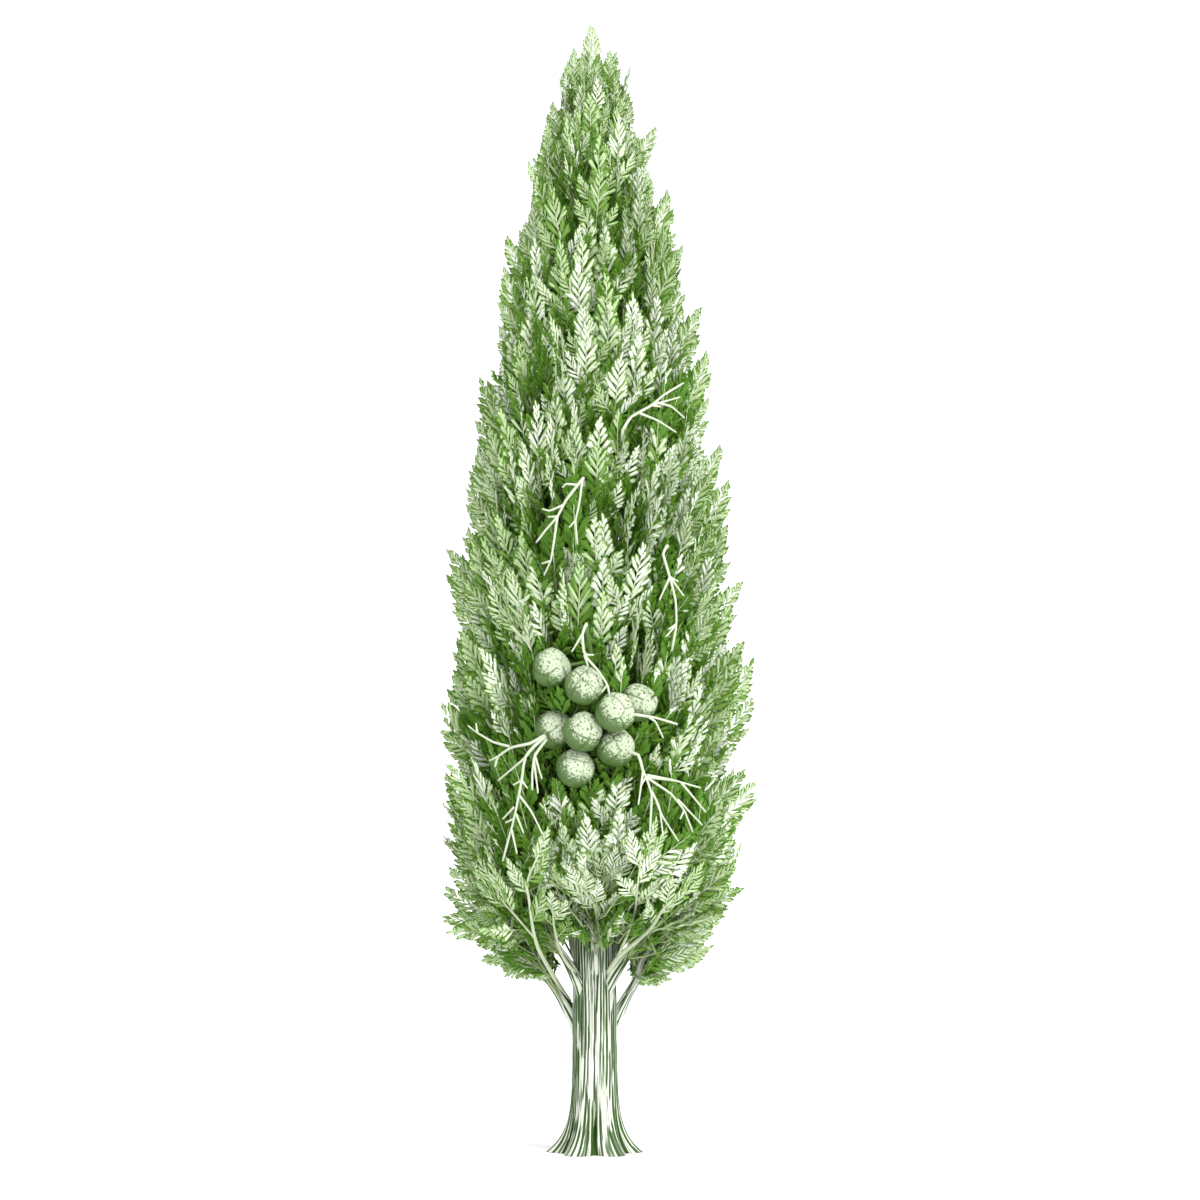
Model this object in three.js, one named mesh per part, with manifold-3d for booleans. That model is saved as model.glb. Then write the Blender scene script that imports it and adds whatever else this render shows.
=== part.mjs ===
// A Mediterranean cypress, twelve metres tall: a bare bole with a flared foot, seven ascending boughs,
// a narrow spindle of upright foliage in tiers round the stem, and a fruiting branch with eight round cones.
// Millimetres, +Z up. The origin is the middle of the flat cut at ground level, and the front of the tree is -Y.

import * as THREE from "three";
import { mergeVertices } from "three/addons/utils/BufferGeometryUtils.js";
import Module from "manifold-3d";

const wasm = await Module();
wasm.setup();
const { Manifold, Mesh } = wasm;

// Driving dimensions of the whole tree
const HEIGHT = 12000;
const AXIS_DRIFT = -35; // the tip stands this far to the left of the foot
const TRUNK_RADIUS = 243;
const TRUNK_TIP_RADIUS = 24;
const TRUNK_TOP = 10300; // the leader's foliage carries on from here
const BOLE_TOP = 1500; // the bole keeps its width up to the first boughs
const FLARE_REACH = 285; // how far the foot spreads past the bole
const FLARE_FADE = 205;
const FLARE_LOBES = 6;
const LOBE_DEPTH = 0.44; // how far the foot draws in between two lobes, as a share of its reach
const FLUTES = 5; // shallow hollows that wind up the trunk
const FLUTE_DEPTH = 0.03;
const FLUTE_TWIST = 1 / 40; // degrees a millimetre
const TRUNK_LEVELS = [0, 70, 160, 290, 460, 720, BOLE_TOP, 3200, 5200, 7200, 9000, TRUNK_TOP];
const FOOT_POINT = [40, 25, 0]; // the foot is hollow between its lobes, so its flat cut fans out from here
const CROWN_FOOT = 1780;
const CROWN_WIDEST = 4200;
const CROWN_RADIUS = 1600;

// Limbs sweep up in bowls: a limb that leaves the axis at height "start" is at this height at radius r.
const SWEEP_START = 1650;
const SWEEP_FOOT = 0.25e-3;
const SWEEP_GAIN = 0.194e-6;

// Spaces between solids
const TOUCH = 0.3; // a seat between two pieces that carry each other
const CLEAR = 8; // between foliage and a limb that it doesn't grow on
const CELL_EDGE = 10; // from foliage to the side or the floor of its own space
const CELL_ROOF = 42; // to the roof, which curves down between two corners of a leaf
const OUTLINE_SHARE = 1.04; // no leaf passes this share of the mean outline and this much more
const OUTLINE_SLACK = 115;

// Foliage
const CORE_INSET = 60;
const CORE_INSET_SHARE = 0.22;
const CORE_PANEL = 28; // degrees of a core's face between two of its edges, about
const CORE_LEVELS = 3;
const CORE_ROUND = [0.1, 0.08]; // how far a core's face draws in at its sides, and at its foot and top
const CORE_OFF_TRUNK = 70;
const CORE_UNDER_ROOF = 80;
const CORE_OVER_FLOOR = 20;
const CORE_OVER_BOUGH = 230;
const CORE_DEPTH = 60; // the least from its inner to its outer face
const OPEN_FOOT_RADIUS = 470; // under the crown the sky shows on both sides of the trunk
const STEM_REACH = [130, 260]; // of a mass's stem past the trunk, where it grows on the trunk
const STEM_RADII = [40, 34, 26];
const STEM_SIDES = 5;
const STEM_START = 0.3; // the height at which it leaves the trunk, as a share of its space
const STEM_HEART = [0.5, 0.45, 0.55]; // where it ends in the core: shares across, up and out
const STEM_STRAIGHT = 60; // how far a bough's line runs on before the stem turns to the core
const STEM_TAPER = 0.6;
const TWIG_LENGTH = 380;
const TWIG_RADIUS = 20;
const TWIG_SIZES = [0.88, 1.1];
const TWIG_TURN = 12; // degrees between the most that two twigs turn, roll and fan
const TWIG_ROLL = 20;
const FAN_SPREAD = 10;
const SIDE_KNOTS = [0.42, 0.64]; // where the side sprays leave the twig, as shares of its length
const SIDE_FAN = 42; // degrees from a twig to a side spray
const SIDE_SIZE = 0.74; // its size beside that of the last spray
const REACH = [-40, 135]; // how far past the mean outline a twig's tip may aim
const ROOT_IN = 85; // how far a twig starts inside its core, and how far down
const ROOT_DOWN = 40;
const SPRAY_LENGTH = 700;
const SPRAY_WIDTH = 360;
const SPRAY_THICKNESS = 44;
const AREA_PER_TWIG = 0.44e6; // square millimetres of crown surface
const TRIES = 14; // places tried for each twig
const LEAN_TOP = 38; // the most that a twig leans out from upright, in degrees, at mid height and above
const LEAN_FOOT = 80;
const LEAN_FADE = 800;
const SHORTER = [1, 0.82, 0.66]; // a twig that doesn't fit is tried again at these shares of its size
const FACE_SHARE = 0.82; // twigs start on this much of a core's height, as the next tier stands over the rest
const FACE_SIDE = 0.06; // and no nearer to its sides than this share of its width
const LOW_BIAS = 1.7; // over a bough most of them start low, and spread out under the crown
const LEADER_FOOT = 10395;
const LEADER_HEART = 1185; // height of its core
const LEADER_TWIGS = 7;
const LEADER_LEVELS = [0, 0.2, 0.55, 1];
const LEADER_SIDES = 6;
const CREST_SIZE = 0.6;
const SIMPLER = 1.5; // edges shorter than this are closed up, except at a seat

const CONE_RADIUS = 205;

const FRONT = -90;
const UP = new THREE.Vector3(0, 0, 1);
const { degToRad, lerp, clamp } = THREE.MathUtils;

// One tier of masses: where its floor leaves the axis, how many masses, and the bearing of the first one.
const TIERS = [
  { start: 1650, masses: 7, bearing: FRONT },
  { start: 3000, masses: 6, bearing: FRONT + 30 },
  { start: 4050, masses: 6, bearing: FRONT },
  { start: 5200, masses: 6, bearing: FRONT + 30 },
  { start: 6400, masses: 5, bearing: FRONT },
  { start: 7700, masses: 4, bearing: FRONT + 45 },
  { start: 8950, masses: 3, bearing: FRONT },
];
const LEADER_START = 10100;

// The boughs that show under the crown, one for each mass of the lowest tier, in the order of their bearings.
// Each leaves the trunk at height "from" and ends at a radius and height inside its mass.
const BOUGHS = [
  { name: "bough_front", from: 2040, radius: 46, tip: [430, 2440] },
  { name: "bough_front_right", from: 1800, radius: 70, tip: [860, 2620] },
  { name: "bough_right", from: 1430, radius: 74, tip: [545, 2060] },
  { name: "bough_back_right", from: 1700, radius: 56, tip: [640, 2420] },
  { name: "bough_back_left", from: 1660, radius: 56, tip: [660, 2440] },
  { name: "bough_left", from: 1440, radius: 76, tip: [610, 2080] },
  { name: "bough_front_left", from: 1850, radius: 62, tip: [640, 2480] },
];
const LOW_BOUGHS = ["bough_right", "bough_left"];
const HIGH_FLOOR = 300; // how much higher the foliage over the other boughs starts
const BOUGH_TAPER = 0.62;
const BOUGH_SUNK = 90; // how far below its height on the bark a bough starts, inside the trunk
const BOUGH_BEND = [[0.3, 0.3], [0.75, 0.66]]; // shares of its way out and of its way up at two points
const BOUGH_STEPS = 6;
const BOUGH_SIDES = 6;
const BOUGH_COLLAR = 0.5; // how much thicker it is at the trunk, and over what share of its length
const COLLAR_FADE = 0.15;

// Cones as seen from the front: across, height, and depth in front of the axis.
const CONES = [
  [-453, 5200, 1290],
  [-112, 5020, 1450],
  [446, 4835, 1220],
  [209, 4750, 1550],
  [-440, 4560, 1200],
  [-125, 4535, 1460],
  [222, 4365, 1330],
  [-208, 4150, 1310],
];
// The fruiting branch from the trunk, up behind the cones and over: across, height, depth.
const FRUITING_STEM = [
  [0, 3700, 150],
  [0, 3900, 500],
  [0, 4330, 900],
  [0, 4850, 1120],
  [-40, 5300, 1210],
  [-90, 5640, 1420],
];
const FRUITING_STEM_RADIUS = 44;
const STALK_RADII = [22, 18];

// Leafless twigs that lie over the leaves at the front, in groups: each line is across and height, from its
// thick end. The first line of a group grows from a limb, and the others from that line.
const CONE_TWIGS = [
  [
    [[-130, 5540], [-95, 5330], [50, 5160], [120, 4960]],
  ],
  [
    [[-560, 4440], [-870, 4390], [-1150, 4430], [-1330, 4610]],
    [[-870, 4390], [-1040, 4180]],
  ],
  [
    [[-540, 4420], [-670, 4180], [-770, 3940], [-860, 3600], [-960, 3190]],
    [[-540, 4420], [-730, 4280], [-840, 4190], [-1010, 4040]],
  ],
  [
    [[340, 4400], [450, 4310], [540, 4080], [580, 3480]],
    [[540, 4080], [760, 3960], [1090, 3950]],
    [[760, 3960], [930, 3720], [1020, 3490]],
  ],
  [
    [[520, 4780], [640, 4690], [860, 4620]],
  ],
];
const MASS_TWIGS = {
  foliage_4_1: [
    [[290, 7680], [415, 7830], [585, 7940], [735, 8050], [925, 8180]],
    [[415, 7830], [710, 7740], [850, 7660]],
  ],
  foliage_4_6: [
    [[-130, 7190], [-310, 6930], [-405, 6750], [-605, 6510]],
    [[-405, 6750], [-425, 6500], [-530, 6170]],
    [[-130, 7190], [-215, 6840], [-175, 6480]],
  ],
  foliage_3_2: [
    [[755, 6490], [775, 6100], [840, 5900], [850, 5660], [800, 5380]],
    [[775, 6100], [925, 5940]],
  ],
};
const BARE_TWIG_RADIUS = 19;
const BARE_TWIG_PROUD = 70; // how far they stand in front of the mean outline
const BARE_TWIG_ROOT = 0.85; // share of the way out to a core's face where a group starts

// Plain number helpers

// A repeatable stream of numbers from 0 to 1.
function seeded(seed) {
  let state = (seed * 2654435761) >>> 0;
  return () => {
    state = (Math.imul(state, 1664525) + 1013904223) >>> 0;
    return state / 4294967296;
  };
}

// The next point of an even spread over the unit square.
function spread(index, shift) {
  return [
    (shift[0] + 0.7548776662 * index) % 1,
    (shift[1] + 0.569840291 * index) % 1,
  ];
}

function axisX(z) {
  return (AXIS_DRIFT * z) / HEIGHT;
}

function polar(r, bearing, z) {
  const angle = degToRad(bearing);
  return new THREE.Vector3(axisX(z) + r * Math.cos(angle), r * Math.sin(angle), z);
}

function radiusOf(point) {
  return Math.hypot(point.x - axisX(point.z), point.y);
}

function bearingOf(point) {
  return (Math.atan2(point.y, point.x - axisX(point.z)) * 180) / Math.PI;
}

// The trunk's mean radius over the flare, tapering from the first boughs to its tip.
function trunkRadius(z) {
  const t = clamp((z - BOLE_TOP) / (TRUNK_TOP - BOLE_TOP), 0, 1);
  return TRUNK_TIP_RADIUS + (TRUNK_RADIUS - TRUNK_TIP_RADIUS) * (1 - t) ** 0.9;
}

// The outline of the crown: a spindle, blunt at the foot and drawn out to a point at the top.
function crownRadius(z) {
  if (z < CROWN_WIDEST) {
    const t = clamp((CROWN_WIDEST - z) / (CROWN_WIDEST - CROWN_FOOT), 0, 1);
    return CROWN_RADIUS * (1 - t ** 3) ** 0.35;
  }
  const t = clamp((z - CROWN_WIDEST) / (HEIGHT - CROWN_WIDEST), 0, 1);
  return CROWN_RADIUS * (1 - t ** 1.5) ** 0.72;
}

function coreRadius(z) {
  return Math.max(crownRadius(z) * (1 - CORE_INSET_SHARE) - CORE_INSET, 0);
}

function sweepHeight(start, r) {
  return start + (SWEEP_FOOT + SWEEP_GAIN * (start - SWEEP_START)) * r * r;
}

// The start of the bowl that passes through radius r at height z.
function sweepStart(z, r) {
  const foot = SWEEP_FOOT - SWEEP_GAIN * SWEEP_START;
  return (z - foot * r * r) / (1 + SWEEP_GAIN * r * r);
}

// Where the bowl that begins at "start" comes out through the face of the cores.
function coreEdge(start) {
  let low = 0;
  let high = CROWN_RADIUS;
  for (let i = 0; i < 24; i++) {
    const r = (low + high) / 2;
    if (r < coreRadius(sweepHeight(start, r))) low = r;
    else high = r;
  }
  return low;
}

function leanLimit(z) {
  const fade = Math.exp(-Math.max(z - CROWN_FOOT, 0) / LEAN_FADE);
  return degToRad(lerp(LEAN_TOP, LEAN_FOOT, fade));
}

// Foliage gets finer towards the top.
function fineness(z) {
  return 0.5 + (0.5 * crownRadius(z)) / CROWN_RADIUS;
}

// Geometry helpers

function geometryOf(points, faces) {
  const geometry = new THREE.BufferGeometry().setFromPoints(points);
  geometry.setIndex(faces.flat());
  return geometry;
}

// A closed geometry as a solid that can be joined and cut.
function solidOf(geometry) {
  const plain = geometry.clone();
  plain.deleteAttribute("normal");
  plain.deleteAttribute("uv");
  const merged = mergeVertices(plain, 1e-3);
  return new Manifold(
    new Mesh({
      numProp: 3,
      vertProperties: new Float32Array(merged.attributes.position.array),
      triVerts: new Uint32Array(merged.index.array),
    }),
  );
}

function geometryFrom(solid) {
  const mesh = solid.getMesh();
  const geometry = new THREE.BufferGeometry();
  geometry.setAttribute("position", new THREE.BufferAttribute(mesh.vertProperties, 3));
  geometry.setIndex(new THREE.BufferAttribute(mesh.triVerts, 1));
  geometry.computeVertexNormals();
  return geometry;
}

// Rings of points joined into a closed tube. Every ring turns anticlockwise as seen from the last one.
// The first ring is closed from its own first point, or from a foot point inside it.
function loft(rings, foot) {
  const n = rings[0].length;
  const points = rings.flat();
  const faces = [];
  for (let k = 0; k + 1 < rings.length; k++) {
    for (let i = 0; i < n; i++) {
      const a = k * n + i;
      const b = k * n + ((i + 1) % n);
      faces.push([a, b, b + n], [a, b + n, a + n]);
    }
  }
  const last = points.length - n;
  for (let i = 1; i + 1 < n; i++) {
    faces.push([last, last + i, last + i + 1]);
    if (!foot) faces.push([0, i + 1, i]);
  }
  if (foot) {
    for (let i = 0; i < n; i++) faces.push([points.length, (i + 1) % n, i]);
    points.push(foot);
  }
  return geometryOf(points, faces);
}

// A round limb along a list of points, with a radius for each.
function limb(points, radii, sides) {
  const rings = points.map((point, k) => {
    const before = points[Math.max(k - 1, 0)];
    const after = points[Math.min(k + 1, points.length - 1)];
    const along = after.clone().sub(before).normalize();
    const side = new THREE.Vector3(0.31, 0.95, 0.05).cross(along).normalize();
    const front = along.clone().cross(side);
    return Array.from({ length: sides }, (_, i) => {
      const turn = (2 * Math.PI * i) / sides;
      return point
        .clone()
        .addScaledVector(side, radii[k] * Math.cos(turn))
        .addScaledVector(front, radii[k] * Math.sin(turn));
    });
  });
  return loft(rings);
}

// Evenly spaced points on a smooth curve through a few.
function curved(points, steps) {
  return new THREE.CatmullRomCurve3(points).getPoints(steps);
}

// Corners of a spray of scale leaves, from its base: a share of its length, and a share of its width.
const LAST_SPRAY = [[0.36, 0.5], [0.46, 0.15], [0.78, 0.38], [1, 0], [0.7, -0.14], [0.58, -0.48]];
const SIDE_SPRAY = [[0.42, 0.5], [1, 0], [0.5, -0.4]];
const SPRAY_RIB = 0.46;

// A spray laid out in the plane of its twig: along it, and across it.
function layOut(corners, base, turn, size) {
  return corners.map(([u, v]) => {
    const along = u * SPRAY_LENGTH * size;
    const across = v * SPRAY_WIDTH * size;
    return [
      base + along * Math.cos(turn) - across * Math.sin(turn),
      along * Math.sin(turn) + across * Math.cos(turn),
    ];
  });
}

// The edge of a sprig, and the raised points inside it. Each corner of the edge names the raised points that
// it is joined to: from the one that the edge before it rises to, to the one that the edge after it rises to.
function sprigPlan(fan, withSides) {
  const rib = [[SPRAY_RIB, 0]];
  const top = TWIG_LENGTH;
  const [last] = layOut(rib, top, fan[0], 1);
  const corner = (at, ...joins) => ({ at, joins });
  const spray = (corners, base, turn, size, knot) =>
    layOut(corners, base, turn, size).map((at) => corner(at, knot));
  const lastCorners = spray(LAST_SPRAY, top, fan[0], 1, "last");
  if (!withSides) return { raised: { last }, edge: [corner([0, 0], "last"), ...lastCorners] };
  const [low, high] = SIDE_KNOTS.map((share) => share * TWIG_LENGTH);
  const [right] = layOut(rib, low, fan[1], SIDE_SIZE);
  const [left] = layOut(rib, high, fan[2], SIDE_SIZE);
  const edge = [
    corner([0, 0], "low"),
    corner([low - TWIG_RADIUS, TWIG_RADIUS], "low", "right"),
    ...spray(SIDE_SPRAY, low, fan[1], SIDE_SIZE, "right"),
    corner([low + TWIG_RADIUS, TWIG_RADIUS], "right", "low", "high", "last"),
    ...lastCorners,
    corner([high + TWIG_RADIUS, -TWIG_RADIUS], "last", "high", "left"),
    ...spray(SIDE_SPRAY, high, fan[2], SIDE_SIZE, "left"),
    corner([high - TWIG_RADIUS, -TWIG_RADIUS], "left", "high", "low"),
  ];
  return { raised: { low: [low, 0], high: [high, 0], right, left, last }, edge };
}

// A twig with its sprays as one closed blade in a plane, thick along twig and ribs and sharp at its edge.
function sprigGeometry(root, along, across, size, plan) {
  const normal = along.clone().cross(across).normalize();
  const place = ([u, v], rise) =>
    root
      .clone()
      .addScaledVector(along, u * size)
      .addScaledVector(across, v * size)
      .addScaledVector(normal, rise * size);
  const points = plan.edge.map(({ at }) => place(at, 0));
  const index = {};
  for (const [knot, at] of Object.entries(plan.raised)) {
    index[knot] = points.length;
    points.push(place(at, SPRAY_THICKNESS / 2), place(at, -SPRAY_THICKNESS / 2));
  }
  const faces = [];
  plan.edge.forEach(({ joins }, i) => {
    const next = (i + 1) % plan.edge.length;
    const knots = joins.map((knot) => index[knot]);
    for (let k = 0; k + 1 < knots.length; k++) {
      faces.push([i, knots[k], knots[k + 1]], [i, knots[k + 1] + 1, knots[k] + 1]);
    }
    const knot = knots.at(-1);
    faces.push([knot, next, i], [knot + 1, i, next]);
  });
  return geometryOf(points, faces);
}

// The trunk

// Its outline at a height: lobes run out over the roots at the foot, with a hollow between two at the front.
function trunkRing(z, extra) {
  const sides = 4 * FLARE_LOBES;
  return Array.from({ length: sides }, (_, i) => {
    const bearing = (360 * i) / sides;
    const hollow = (1 + Math.cos(degToRad(FLARE_LOBES * (bearing - FRONT)))) / 2;
    const flute = 1 + FLUTE_DEPTH * Math.sin(degToRad(FLUTES * bearing + z * FLUTE_TWIST));
    const flare = FLARE_REACH * Math.exp(-z / FLARE_FADE) * (1 - LOBE_DEPTH * hollow);
    return polar(trunkRadius(z) * flute + flare + extra, bearing, z);
  });
}

function trunkSolid(extra) {
  const rings = TRUNK_LEVELS.map((z) => trunkRing(z, extra));
  return solidOf(loft(rings, new THREE.Vector3(...FOOT_POINT)));
}

// Boughs

function boughBearing(index) {
  return TIERS[0].bearing + (360 * index) / TIERS[0].masses;
}

function boughPath(bough, index) {
  const bearing = boughBearing(index);
  const [tipRadius, tipHeight] = bough.tip;
  const bends = BOUGH_BEND.map(([out, up]) =>
    polar(lerp(TRUNK_RADIUS, tipRadius, out), bearing, lerp(bough.from, tipHeight, up)),
  );
  const root = polar(TRUNK_RADIUS - BOUGH_SUNK, bearing, bough.from - BOUGH_SUNK);
  return curved([root, ...bends, polar(tipRadius, bearing, tipHeight)], BOUGH_STEPS);
}

// The unit direction in which a path ends.
function heading(path) {
  return path.at(-1).clone().sub(path.at(-2)).normalize();
}

function boughSolid(bough, index, extra) {
  const path = boughPath(bough, index);
  path.at(-1).addScaledVector(heading(path), extra);
  const radii = path.map((_, k) => {
    const t = k / (path.length - 1);
    const collar = 1 + BOUGH_COLLAR * Math.exp(-t / COLLAR_FADE);
    return bough.radius * collar * lerp(1, BOUGH_TAPER, t) + extra;
  });
  return solidOf(limb(path, radii, BOUGH_SIDES));
}

// The fruiting branch

function frontPoint([across, height, depth]) {
  return new THREE.Vector3(across, -depth, height);
}

// A point of a bare twig: on the front of the crown, a little proud of the leaves.
function onFront([across, height]) {
  const reach = crownRadius(height) + BARE_TWIG_PROUD;
  return new THREE.Vector3(across, -Math.sqrt(reach ** 2 - (across - axisX(height)) ** 2), height);
}

// A group of bare twigs from a point inside the limb or core that it grows from.
function bareTwigs(root, lines, extra) {
  const sticks = lines.map((line, i) => {
    const points = i === 0 ? [root, ...line.map(onFront)] : line.map(onFront);
    const taper = (k) => lerp(1, 0.5, k / (points.length - 1));
    return solidOf(limb(points, points.map((_, k) => BARE_TWIG_RADIUS * taper(k) + extra), 3));
  });
  return Manifold.union(sticks);
}

function nearest(points, target) {
  return points.reduce((best, point) =>
    point.distanceTo(target) < best.distanceTo(target) ? point : best,
  );
}

function fruitingSolid(extra) {
  const stem = curved(FRUITING_STEM.map(frontPoint), 11);
  const radii = stem.map((_, k) => FRUITING_STEM_RADIUS * lerp(1, 0.5, k / (stem.length - 1)) + extra);
  const cones = CONES.map(frontPoint).flatMap((centre) => {
    const ball = new THREE.IcosahedronGeometry(CONE_RADIUS + extra, 1);
    ball.translate(centre.x, centre.y, centre.z);
    const radii = STALK_RADII.map((radius) => radius + extra);
    const stalk = limb([nearest(stem, centre), centre], radii, 3);
    return [solidOf(ball), solidOf(stalk)];
  });
  const twigs = CONE_TWIGS.map((lines) =>
    bareTwigs(nearest(stem, onFront(lines[0][0])), lines, extra),
  );
  return Manifold.union([solidOf(limb(stem, radii, 5)), ...cones, ...twigs]).simplify(SIMPLER);
}

// Masses of foliage

// The space of each mass: between two bowls and two upright planes through the axis.
function cells() {
  return TIERS.flatMap((tier, t) =>
    Array.from({ length: tier.masses }, (_, i) => {
      const bough = t === 0 ? BOUGHS[i] : undefined;
      const raised = bough && !LOW_BOUGHS.includes(bough.name) ? HIGH_FLOOR : 0;
      return {
        name: `foliage_${t + 1}_${i + 1}`,
        seed: 100 * (t + 1) + i,
        bearing: tier.bearing + (360 * i) / tier.masses,
        half: 180 / tier.masses,
        floor: tier.start + raised,
        roof: t + 1 < TIERS.length ? TIERS[t + 1].start : LEADER_START,
        coreFloor: tier.start + raised + (bough ? CORE_OVER_BOUGH : CORE_OVER_FLOOR),
        hub: bough ? OPEN_FOOT_RADIUS : undefined,
        bough,
        boughIndex: i,
      };
    }),
  );
}

function turnFrom(bearing, middle) {
  return ((((bearing - middle) % 360) + 540) % 360) - 180;
}

// Whether a point of a leaf is inside a mass's own space.
function inCell(cell, point) {
  const r = radiusOf(point);
  const start = sweepStart(point.z, r);
  if (start < cell.floor + CELL_EDGE || start > cell.roof - CELL_ROOF) return false;
  if (r > crownRadius(point.z) * OUTLINE_SHARE + OUTLINE_SLACK || point.z > HEIGHT) return false;
  if (cell.half === 180) return true;
  const turn = degToRad(turnFrom(bearingOf(point), cell.bearing));
  const half = degToRad(cell.half);
  return r * Math.sin(half - turn) > CELL_EDGE && r * Math.sin(half + turn) > CELL_EDGE;
}

// A point of a mass's core, from three shares: across the mass, from its floor to its roof, and outward.
function corePoint(cell, a, b, out) {
  const start = lerp(cell.coreFloor, cell.roof - CORE_UNDER_ROOF, b);
  const [sides, ends] = CORE_ROUND;
  const rounding = 1 - sides * Math.abs(2 * a - 1) ** 4 - ends * Math.abs(2 * b - 1) ** 4;
  const hub = cell.hub ?? trunkRadius(start) + CORE_OFF_TRUNK;
  const edge = Math.max(coreEdge(start) * rounding, hub + CORE_DEPTH);
  const r = lerp(hub, edge, out);
  const slack = (Math.asin((2 * CELL_EDGE) / r) * 180) / Math.PI;
  return polar(r, cell.bearing + (cell.half - slack) * (2 * a - 1), sweepHeight(start, r));
}

// The dense heart of a mass: a block between the trunk and the sprays that fills its share of the crown.
function coreSolid(cell) {
  const across = Math.round((2 * cell.half) / CORE_PANEL);
  const up = CORE_LEVELS;
  const columns = across + 1;
  const points = [];
  for (const out of [0, 1]) {
    for (let j = 0; j <= up; j++) {
      for (let i = 0; i <= across; i++) points.push(corePoint(cell, i / across, j / up, out));
    }
  }
  const outer = columns * (up + 1);
  const faces = [];
  const quad = (a, b, c, d) => faces.push([a, b, c], [a, c, d]);
  for (let j = 0; j < up; j++) {
    for (let i = 0; i < across; i++) {
      const k = j * columns + i;
      quad(k, k + columns, k + columns + 1, k + 1);
      quad(outer + k, outer + k + 1, outer + k + columns + 1, outer + k + columns);
    }
    const left = j * columns;
    const right = left + across;
    quad(left, outer + left, outer + left + columns, left + columns);
    quad(right, right + columns, outer + right + columns, outer + right);
  }
  const top = up * columns;
  for (let i = 0; i < across; i++) {
    quad(i, i + 1, outer + i + 1, outer + i);
    quad(top + i, outer + top + i, outer + top + i + 1, top + i + 1);
  }
  return solidOf(geometryOf(points, faces));
}

// The stem of a mass, from the trunk or from the tip of its bough into the core.
function stemSolid(cell) {
  if (cell.bough) {
    const path = boughPath(cell.bough, cell.boughIndex);
    const along = heading(path);
    const start = path.at(-1).clone().addScaledVector(along, TOUCH);
    const heart = corePoint(cell, ...STEM_HEART);
    const radius = cell.bough.radius * BOUGH_TAPER;
    const first = start.clone().addScaledVector(along, STEM_STRAIGHT);
    return solidOf(limb([start, first, heart], [radius, radius, radius * STEM_TAPER], BOUGH_SIDES));
  }
  const start = lerp(cell.floor, cell.roof, STEM_START);
  const bark = trunkRadius(start);
  const stations = [bark / 2, ...STEM_REACH.map((reach) => bark + reach)];
  const path = stations.map((r) => polar(r, cell.bearing, sweepHeight(start, r)));
  return solidOf(limb(path, STEM_RADII, STEM_SIDES));
}

// The leader's heart: a spindle on the tip of the trunk, from two shares: round it, and from foot to top.
function leaderPoint(a, b) {
  const z = LEADER_FOOT + LEADER_HEART * b;
  return polar(Math.max(coreRadius(z), TRUNK_TIP_RADIUS), FRONT + 360 * a, z);
}

function leaderHeart() {
  const round = Array.from({ length: LEADER_SIDES }, (_, i) => i / LEADER_SIDES);
  const levels = LEADER_LEVELS.map((b) => round.map((a) => leaderPoint(a, b)));
  const foot = round.map((a) => polar(TRUNK_TIP_RADIUS, FRONT + 360 * a, TRUNK_TOP + TOUCH));
  return solidOf(loft([foot, ...levels]));
}

// What differs from one twig to the next, drawn in the same order whatever fits.
function twigTraits(random) {
  const sideFan = () => SIDE_FAN + random() * FAN_SPREAD;
  return {
    turn: (random() - 0.5) * TWIG_TURN,
    size: lerp(...TWIG_SIZES, random()),
    reach: lerp(...REACH, random()),
    roll: degToRad((random() - 0.5) * TWIG_ROLL),
    fan: [(random() - 0.5) * FAN_SPREAD, sideFan(), -sideFan()].map(degToRad),
    hand: random() < 0.5 ? 1 : -1,
  };
}

// The lean at which a twig's last spray ends on the outline of the crown.
function leanToOutline(root, length, reach) {
  const r = radiusOf(root);
  let low = 0;
  let high = leanLimit(root.z);
  for (let i = 0; i < 20; i++) {
    const lean = (low + high) / 2;
    const short = crownRadius(root.z + length * Math.cos(lean)) + reach - r - length * Math.sin(lean);
    if (short > 0) low = lean;
    else high = lean;
  }
  return low;
}

// A twig that starts under a core's face, with its sprays.
function growTwig(face, traits, scale, withSides) {
  const size = fineness(face.z) * traits.size * scale;
  const bearing = bearingOf(face) + traits.turn;
  const lean = leanToOutline(face, (TWIG_LENGTH + SPRAY_LENGTH) * size - ROOT_DOWN, traits.reach);
  const outward = new THREE.Vector3(Math.cos(degToRad(bearing)), Math.sin(degToRad(bearing)), 0);
  const along = outward.clone().multiplyScalar(Math.sin(lean)).addScaledVector(UP, Math.cos(lean));
  const across = UP.clone().cross(outward).applyAxisAngle(along, traits.roll);
  const root = face.clone().addScaledVector(along, -ROOT_DOWN).addScaledVector(outward, -ROOT_IN);
  const plan = sprigPlan(traits.fan, withSides);
  return sprigGeometry(root, along, across.multiplyScalar(traits.hand), size, plan);
}

function pointsOf(geometry) {
  const position = geometry.attributes.position;
  return Array.from({ length: position.count }, (_, i) =>
    new THREE.Vector3().fromBufferAttribute(position, i),
  );
}

function touchesAny(solid, others) {
  return others.some((other) => solid.intersect(other).volume() > 0);
}

// The first and largest twig from this place that stays in the mass's space and clear of everything else.
function fittedTwig(cell, face, traits, others) {
  for (const withSides of [true, false]) {
    for (const scale of SHORTER) {
      const twig = growTwig(face, traits, scale, withSides);
      if (!pointsOf(twig).every((point) => inCell(cell, point))) continue;
      const solid = solidOf(twig);
      if (!touchesAny(solid, others)) return solid;
    }
  }
  return undefined;
}

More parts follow.
